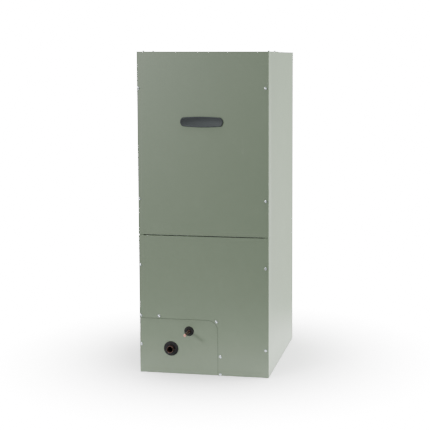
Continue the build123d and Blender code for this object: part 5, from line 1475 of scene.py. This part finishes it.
class AIRHANDLER_OT_housing(bpy.types.Operator):
    """Finish the deck and the scroll with its spun inlet rings"""

    bl_idname = "air_handler.housing"
    bl_label = "Blower housing"

    def execute(self, context):
        softened("blower_deck")
        softened("scroll_wrapper", 0.0003, angle=40)

        def mouth(radius, height, reach, drop):
            """Quarter round of the inlet ring, from its flange inwards."""
            turns = [radians(90.0 * i / 8) for i in range(9)]
            return [(radius - reach * sin(turn), height - drop * (1 - cos(turn))) for turn in turns]

        rings = [
            (115.5, 0), (115.5, 0.3), (112, 0.6), *mouth(112, 0.6, 11.8, 12), (100.1, -12),
            *reversed(mouth(112.5, -0.5, 11.3, 11.5)), (115.5, -0.4), (115.5, 0),
        ]
        flange, dimple_radius, opening = 0.116, 0.1195, 0.1122
        for out, node in ((LEFT, "scroll_side_left"), (RIGHT, "scroll_side_right")):
            plate = traced(node)
            points = plate.data.vertices
            inside = [hypot(point.co.y - BLOWER_Y, point.co.z - BLOWER_Z) < opening for point in points]
            remove_faces(plate, lambda face: all(inside[i] for i in face.vertices))
            soften(plate, 0.0003, 40)
            smooth(plate)
            dress(plate, node + "_plate", "blower", "galvanized", (node,))
            face = flange - 0.0001
            place = facing((out[0] * face, BLOWER_Y, BLOWER_Z), out)
            lathe(node + "_ring", "blower", "galvanized", rings, 72, place)
            frames = on_axle(out[0] * flange, dimple_radius, range(15, 375, 45), out)
            dimples = copies(turned(SIDE_DIMPLE, 14), frames)
            smooth(dimples, 50)
            dress(dimples, node + "_dimples", "blower", "galvanized")
        low, high = corners("blower_screws")
        edge = 0.0036
        frames = [
            facing((x, high.y, (low.z + high.z) / 2), FORWARD) for x in (low.x + edge, high.x - edge)
        ]
        driven_screws("deck_screws", "blower", frames, ("blower_screws",))
        return {"FINISHED"}


class AIRHANDLER_OT_wheel(bpy.types.Operator):
    """Set the curved blades between the rings and the centre disc of the wheel"""

    bl_idname = "air_handler.wheel"
    bl_label = "Blower wheel"

    def execute(self, context):
        look = context.scene.air_handler_blower
        half, inner, outer, sheet, ring_x = 0.1012, 0.1042, 0.1262, 0.0007, 0.1014
        deselect()
        bpy.ops.mesh.primitive_grid_add(x_subdivisions=2, y_subdivisions=8, size=1)
        blade = bpy.context.object
        for vertex in blade.data.vertices:
            share = vertex.co.y + 0.5
            turn = radians(7.0 * share - 10.5 * sin(pi * share) * (1 - 0.25 * share))
            radius = inner + (outer - inner) * share
            vertex.co = (vertex.co.x * 2 * half, radius * cos(turn), radius * sin(turn))
        modify(blade, "SOLIDIFY", thickness=sheet, offset=0)
        smooth(blade)
        count = look.blades
        blades = copies(blade, [Matrix.Rotation(2 * pi * i / count, 4, "X") for i in range(count)])
        rings = [
            seat(turned(WHEEL_RING, 88, closed=True), facing((side * ring_x, 0, 0), (-side, 0, 0)))
            for side in (-1, 1)
        ]
        disc = seat(turned(WHEEL_DISC, 88), facing((0, 0, 0), LEFT))
        wheel = join(blades, disc, *rings)
        smooth(wheel, 35)
        seat(wheel, (0, BLOWER_Y, BLOWER_Z))
        dress(wheel, "wheel_blades", "wheel", "galvanized", ("blower_wheel",))

        hub = turned(WHEEL_HUB, 48)
        smooth(hub)
        seat(hub, facing((-0.020, BLOWER_Y, BLOWER_Z), RIGHT))
        rivets = copies(turned(HUB_RIVET, 14), on_axle(-0.0022, 0.0235, range(0, 360, 60), LEFT))
        grub = prism(4, 0.0034, 0.0, 0.0040, 0.0004)
        seat(grub, facing((-0.013, BLOWER_Y, BLOWER_Z + 0.0155), UP, BACKWARD))
        dress(join(hub, rivets, grub), "wheel_boss", "wheel", "galvanized", ("wheel_hub",))
        place = facing((-0.024, BLOWER_Y, BLOWER_Z), RIGHT)
        lathe("drive_shaft", "wheel", "zinc", SHAFT, 32, place, 40, ("motor_shaft",))
        return {"FINISHED"}


class AIRHANDLER_OT_motor(bpy.types.Operator):
    """Turn the motor shell, its end bells and its mounts, and dress the capacitor and cable"""

    bl_idname = "air_handler.motor"
    bl_label = "Motor"

    def execute(self, context):
        self.shell(context.scene.air_handler_blower.motor_radius / MM)
        softened("motor_band", 0.0005)
        softened("motor_arms", 0.0006)
        driven_screws("arm_screws", "blower", on_axle(0.119, 0.122, (30, 150, 270), RIGHT))
        ends = copies(
            prism(6, 0.0045, 0.0035, 0.0062, 0.0003), [Matrix.Identity(4), Matrix.Rotation(pi, 4, "X")]
        )
        bolt = join(turned(BAND_BOLT, 16), ends)
        seat(bolt, facing((0.112, BLOWER_Y, BLOWER_Z + 0.0765), BACKWARD))
        dress(bolt, "band_bolt", "blower", "zinc")
        self.capacitor()
        self.cable()
        return {"FINISHED"}

    def shell(self, big):
        """Motor shell with the vents of its two end bells sunk in."""
        steps = 64
        front, rear = 5.4, 117
        profile = [
            (6.6, 1.2), (18.5, 0), (19.8, 1.2), (19.8, 4.4), (30, front), (45, front), (56, 5.8), (59.6, 7.6),
            (60, 12.8), (big - 4, 13.1), (big - 1, 14), (big, 16), (big, 34), (big - 0.8, 34.8),
            (big - 0.8, 80), (big, 80.8), (big, 106), (big - 1, 108), (big - 4, 108.9), (60, 109.1),
            (59.4, 115), (57, 116.6), (50, rear), (34, rear), (20, 116.2), (0, 116.2),
        ]
        shell = turned(profile, steps)
        for inner, outer, height, inwards in ((34, 50, rear, -0.0035), (30, 45, front, 0.0035)):

            def in_vent(face):
                """Four of every eight steps round, between two radii on the end's flat."""
                x, y, z = face.center
                step = int(atan2(y, x) % (2 * pi) / (2 * pi) * steps)
                flat = abs(z - height * MM) < 0.0003
                return flat and inner * MM < hypot(x, y) < outer * MM and step % 8 in (1, 2, 3, 4)

            pick(shell, in_vent)
            bpy.ops.mesh.inset(thickness=0.0004, depth=0)
            bpy.ops.mesh.extrude_region_move(TRANSFORM_OT_translate={"value": (0, 0, inwards)})
            done()
        smooth(shell, 35)
        seat(shell, facing((0.018, BLOWER_Y, BLOWER_Z), RIGHT))
        dress(shell, "motor_shell", "blower", "motor_paint", ("motor",))

    def capacitor(self):
        """Capacitor can with its lid, tabs, strap and bracket."""
        low, high = corners("run_capacitor")
        x, y, lid_z = low.x + 0.022, (low.y + high.y) / 2, low.z + 0.0735
        can = (x, y, low.z)
        lathe("capacitor_can", "blower", "ivory_plastic", CAPACITOR_CAN, 48, can, 40, ("run_capacitor",))
        lathe("capacitor_lid", "blower", "black_plastic", CAPACITOR_LID, 32, (x, y, lid_z))
        foot = low.z + 0.075
        tabs = [
            box_at((x + dx, y + dy, (foot + high.z) / 2), (0.0004, 0.003, (high.z - foot) / 2), 0.0001)
            for dx in (-0.011, 0.011)
            for dy in (-0.005, 0.005)
        ]
        dress(join(*tabs), "capacitor_tabs", "blower", "brass")
        strap = seat(turned(CAPACITOR_STRAP, 48), (x, y, low.z + 0.030))
        smooth(strap)
        bracket = block((high.x - 0.0016, y - 0.011, low.z), (high.x, y + 0.011, high.z - 0.006), 0.0004)
        dress(join(strap, bracket), "capacitor_strap", "blower", "galvanized")

    def cable(self):
        """Sleeved leads from the motor to the plug under the deck."""
        low, high = corners("motor_cable")
        x, start_z, sleeve_end = 0.167, BLOWER_Z + CABLE_RISE, -0.094
        route = [
            (0.1345, BLOWER_Y, start_z), (x, BLOWER_Y, start_z), (x, BLOWER_Y, CABLE_TOP_Z),
            (x, sleeve_end, CABLE_TOP_Z),
        ]
        sleeve = tube(route, 0.0033, 0.014, 4)
        smooth(sleeve, 60)
        dress(sleeve, "motor_sleeve", "blower", "wire_black", ("motor_cable",))
        for i, colour in enumerate(("brown", "yellow", "blue", "white")):
            across = -0.0022 + 0.0015 * i
            route = [
                (x + across, -0.088, CABLE_TOP_Z + 0.001 * (i % 2)),
                (x + across * 2.2, sleeve_end, CABLE_TOP_Z - 0.001),
                (x + across * 3.0, -0.101, CABLE_TOP_Z + 0.001),
            ]
            lead = tube(route, 0.0011, 0.004, 2)
            smooth(lead, 60)
            dress(lead, "motor_lead_" + colour, "blower", "wire_" + colour)
        half = 0.012
        plug = block((x - half, low.y, high.z - 2 * half), (x + half, low.y + 0.030, high.z), 0.0012, 3)
        inset(plug, lambda face: abs(face.normal.x) > 0.9, (0.003, -0.0008))
        dress(plug, "motor_plug", "blower", "wire_white")
        place = facing((0.1348, BLOWER_Y, start_z), RIGHT)
        lathe("motor_cable_collar", "blower", "rubber", CABLE_COLLAR, 24, place)


class AIRHANDLER_PT_pieces(bpy.types.Panel):
    """Lists the steps that dress the air handler"""

    bl_label = "Air handler"
    bl_idname = "AIRHANDLER_PT_pieces"
    bl_space_type = "VIEW_3D"
    bl_region_type = "UI"
    bl_category = "Air handler"

    def draw(self, context):
        for operator in OPERATORS:
            self.layout.operator(operator.bl_idname)
        for name in LOOKS:
            look = getattr(context.scene, name)
            box = self.layout.box()
            for key in look.__annotations__:
                box.prop(look, key)


LOOKS = {
    "air_handler_cabinet": CabinetLook,
    "air_handler_coil": CoilLook,
    "air_handler_blower": BlowerLook,
    "air_handler_finish": FinishLook,
    "air_handler_studio": StudioLook,
}
OPERATORS = [
    AIRHANDLER_OT_stage,
    AIRHANDLER_OT_cabinet,
    AIRHANDLER_OT_doors,
    AIRHANDLER_OT_screws,
    AIRHANDLER_OT_badge,
    AIRHANDLER_OT_piping,
    AIRHANDLER_OT_stubs,
    AIRHANDLER_OT_linings,
    AIRHANDLER_OT_filter,
    AIRHANDLER_OT_pan,
    AIRHANDLER_OT_coil,
    AIRHANDLER_OT_lines,
    AIRHANDLER_OT_controls,
    AIRHANDLER_OT_housing,
    AIRHANDLER_OT_wheel,
    AIRHANDLER_OT_motor,
]


def register():
    for thing in (*LOOKS.values(), *OPERATORS, AIRHANDLER_PT_pieces):
        bpy.utils.register_class(thing)
    for name, look in LOOKS.items():
        setattr(bpy.types.Scene, name, PointerProperty(type=look))


def unregister():
    for name in LOOKS:
        delattr(bpy.types.Scene, name)
    for thing in reversed((*LOOKS.values(), *OPERATORS, AIRHANDLER_PT_pieces)):
        bpy.utils.unregister_class(thing)


def main():
    register()
    for operator in OPERATORS:
        group, name = operator.bl_idname.split(".")
        getattr(getattr(bpy.ops, group), name)()
    repaint(*[node for node in frame["nodes"] if not frame["nodes"][node].hide_render])
    deselect()


if __name__ == "__main__":
    main()
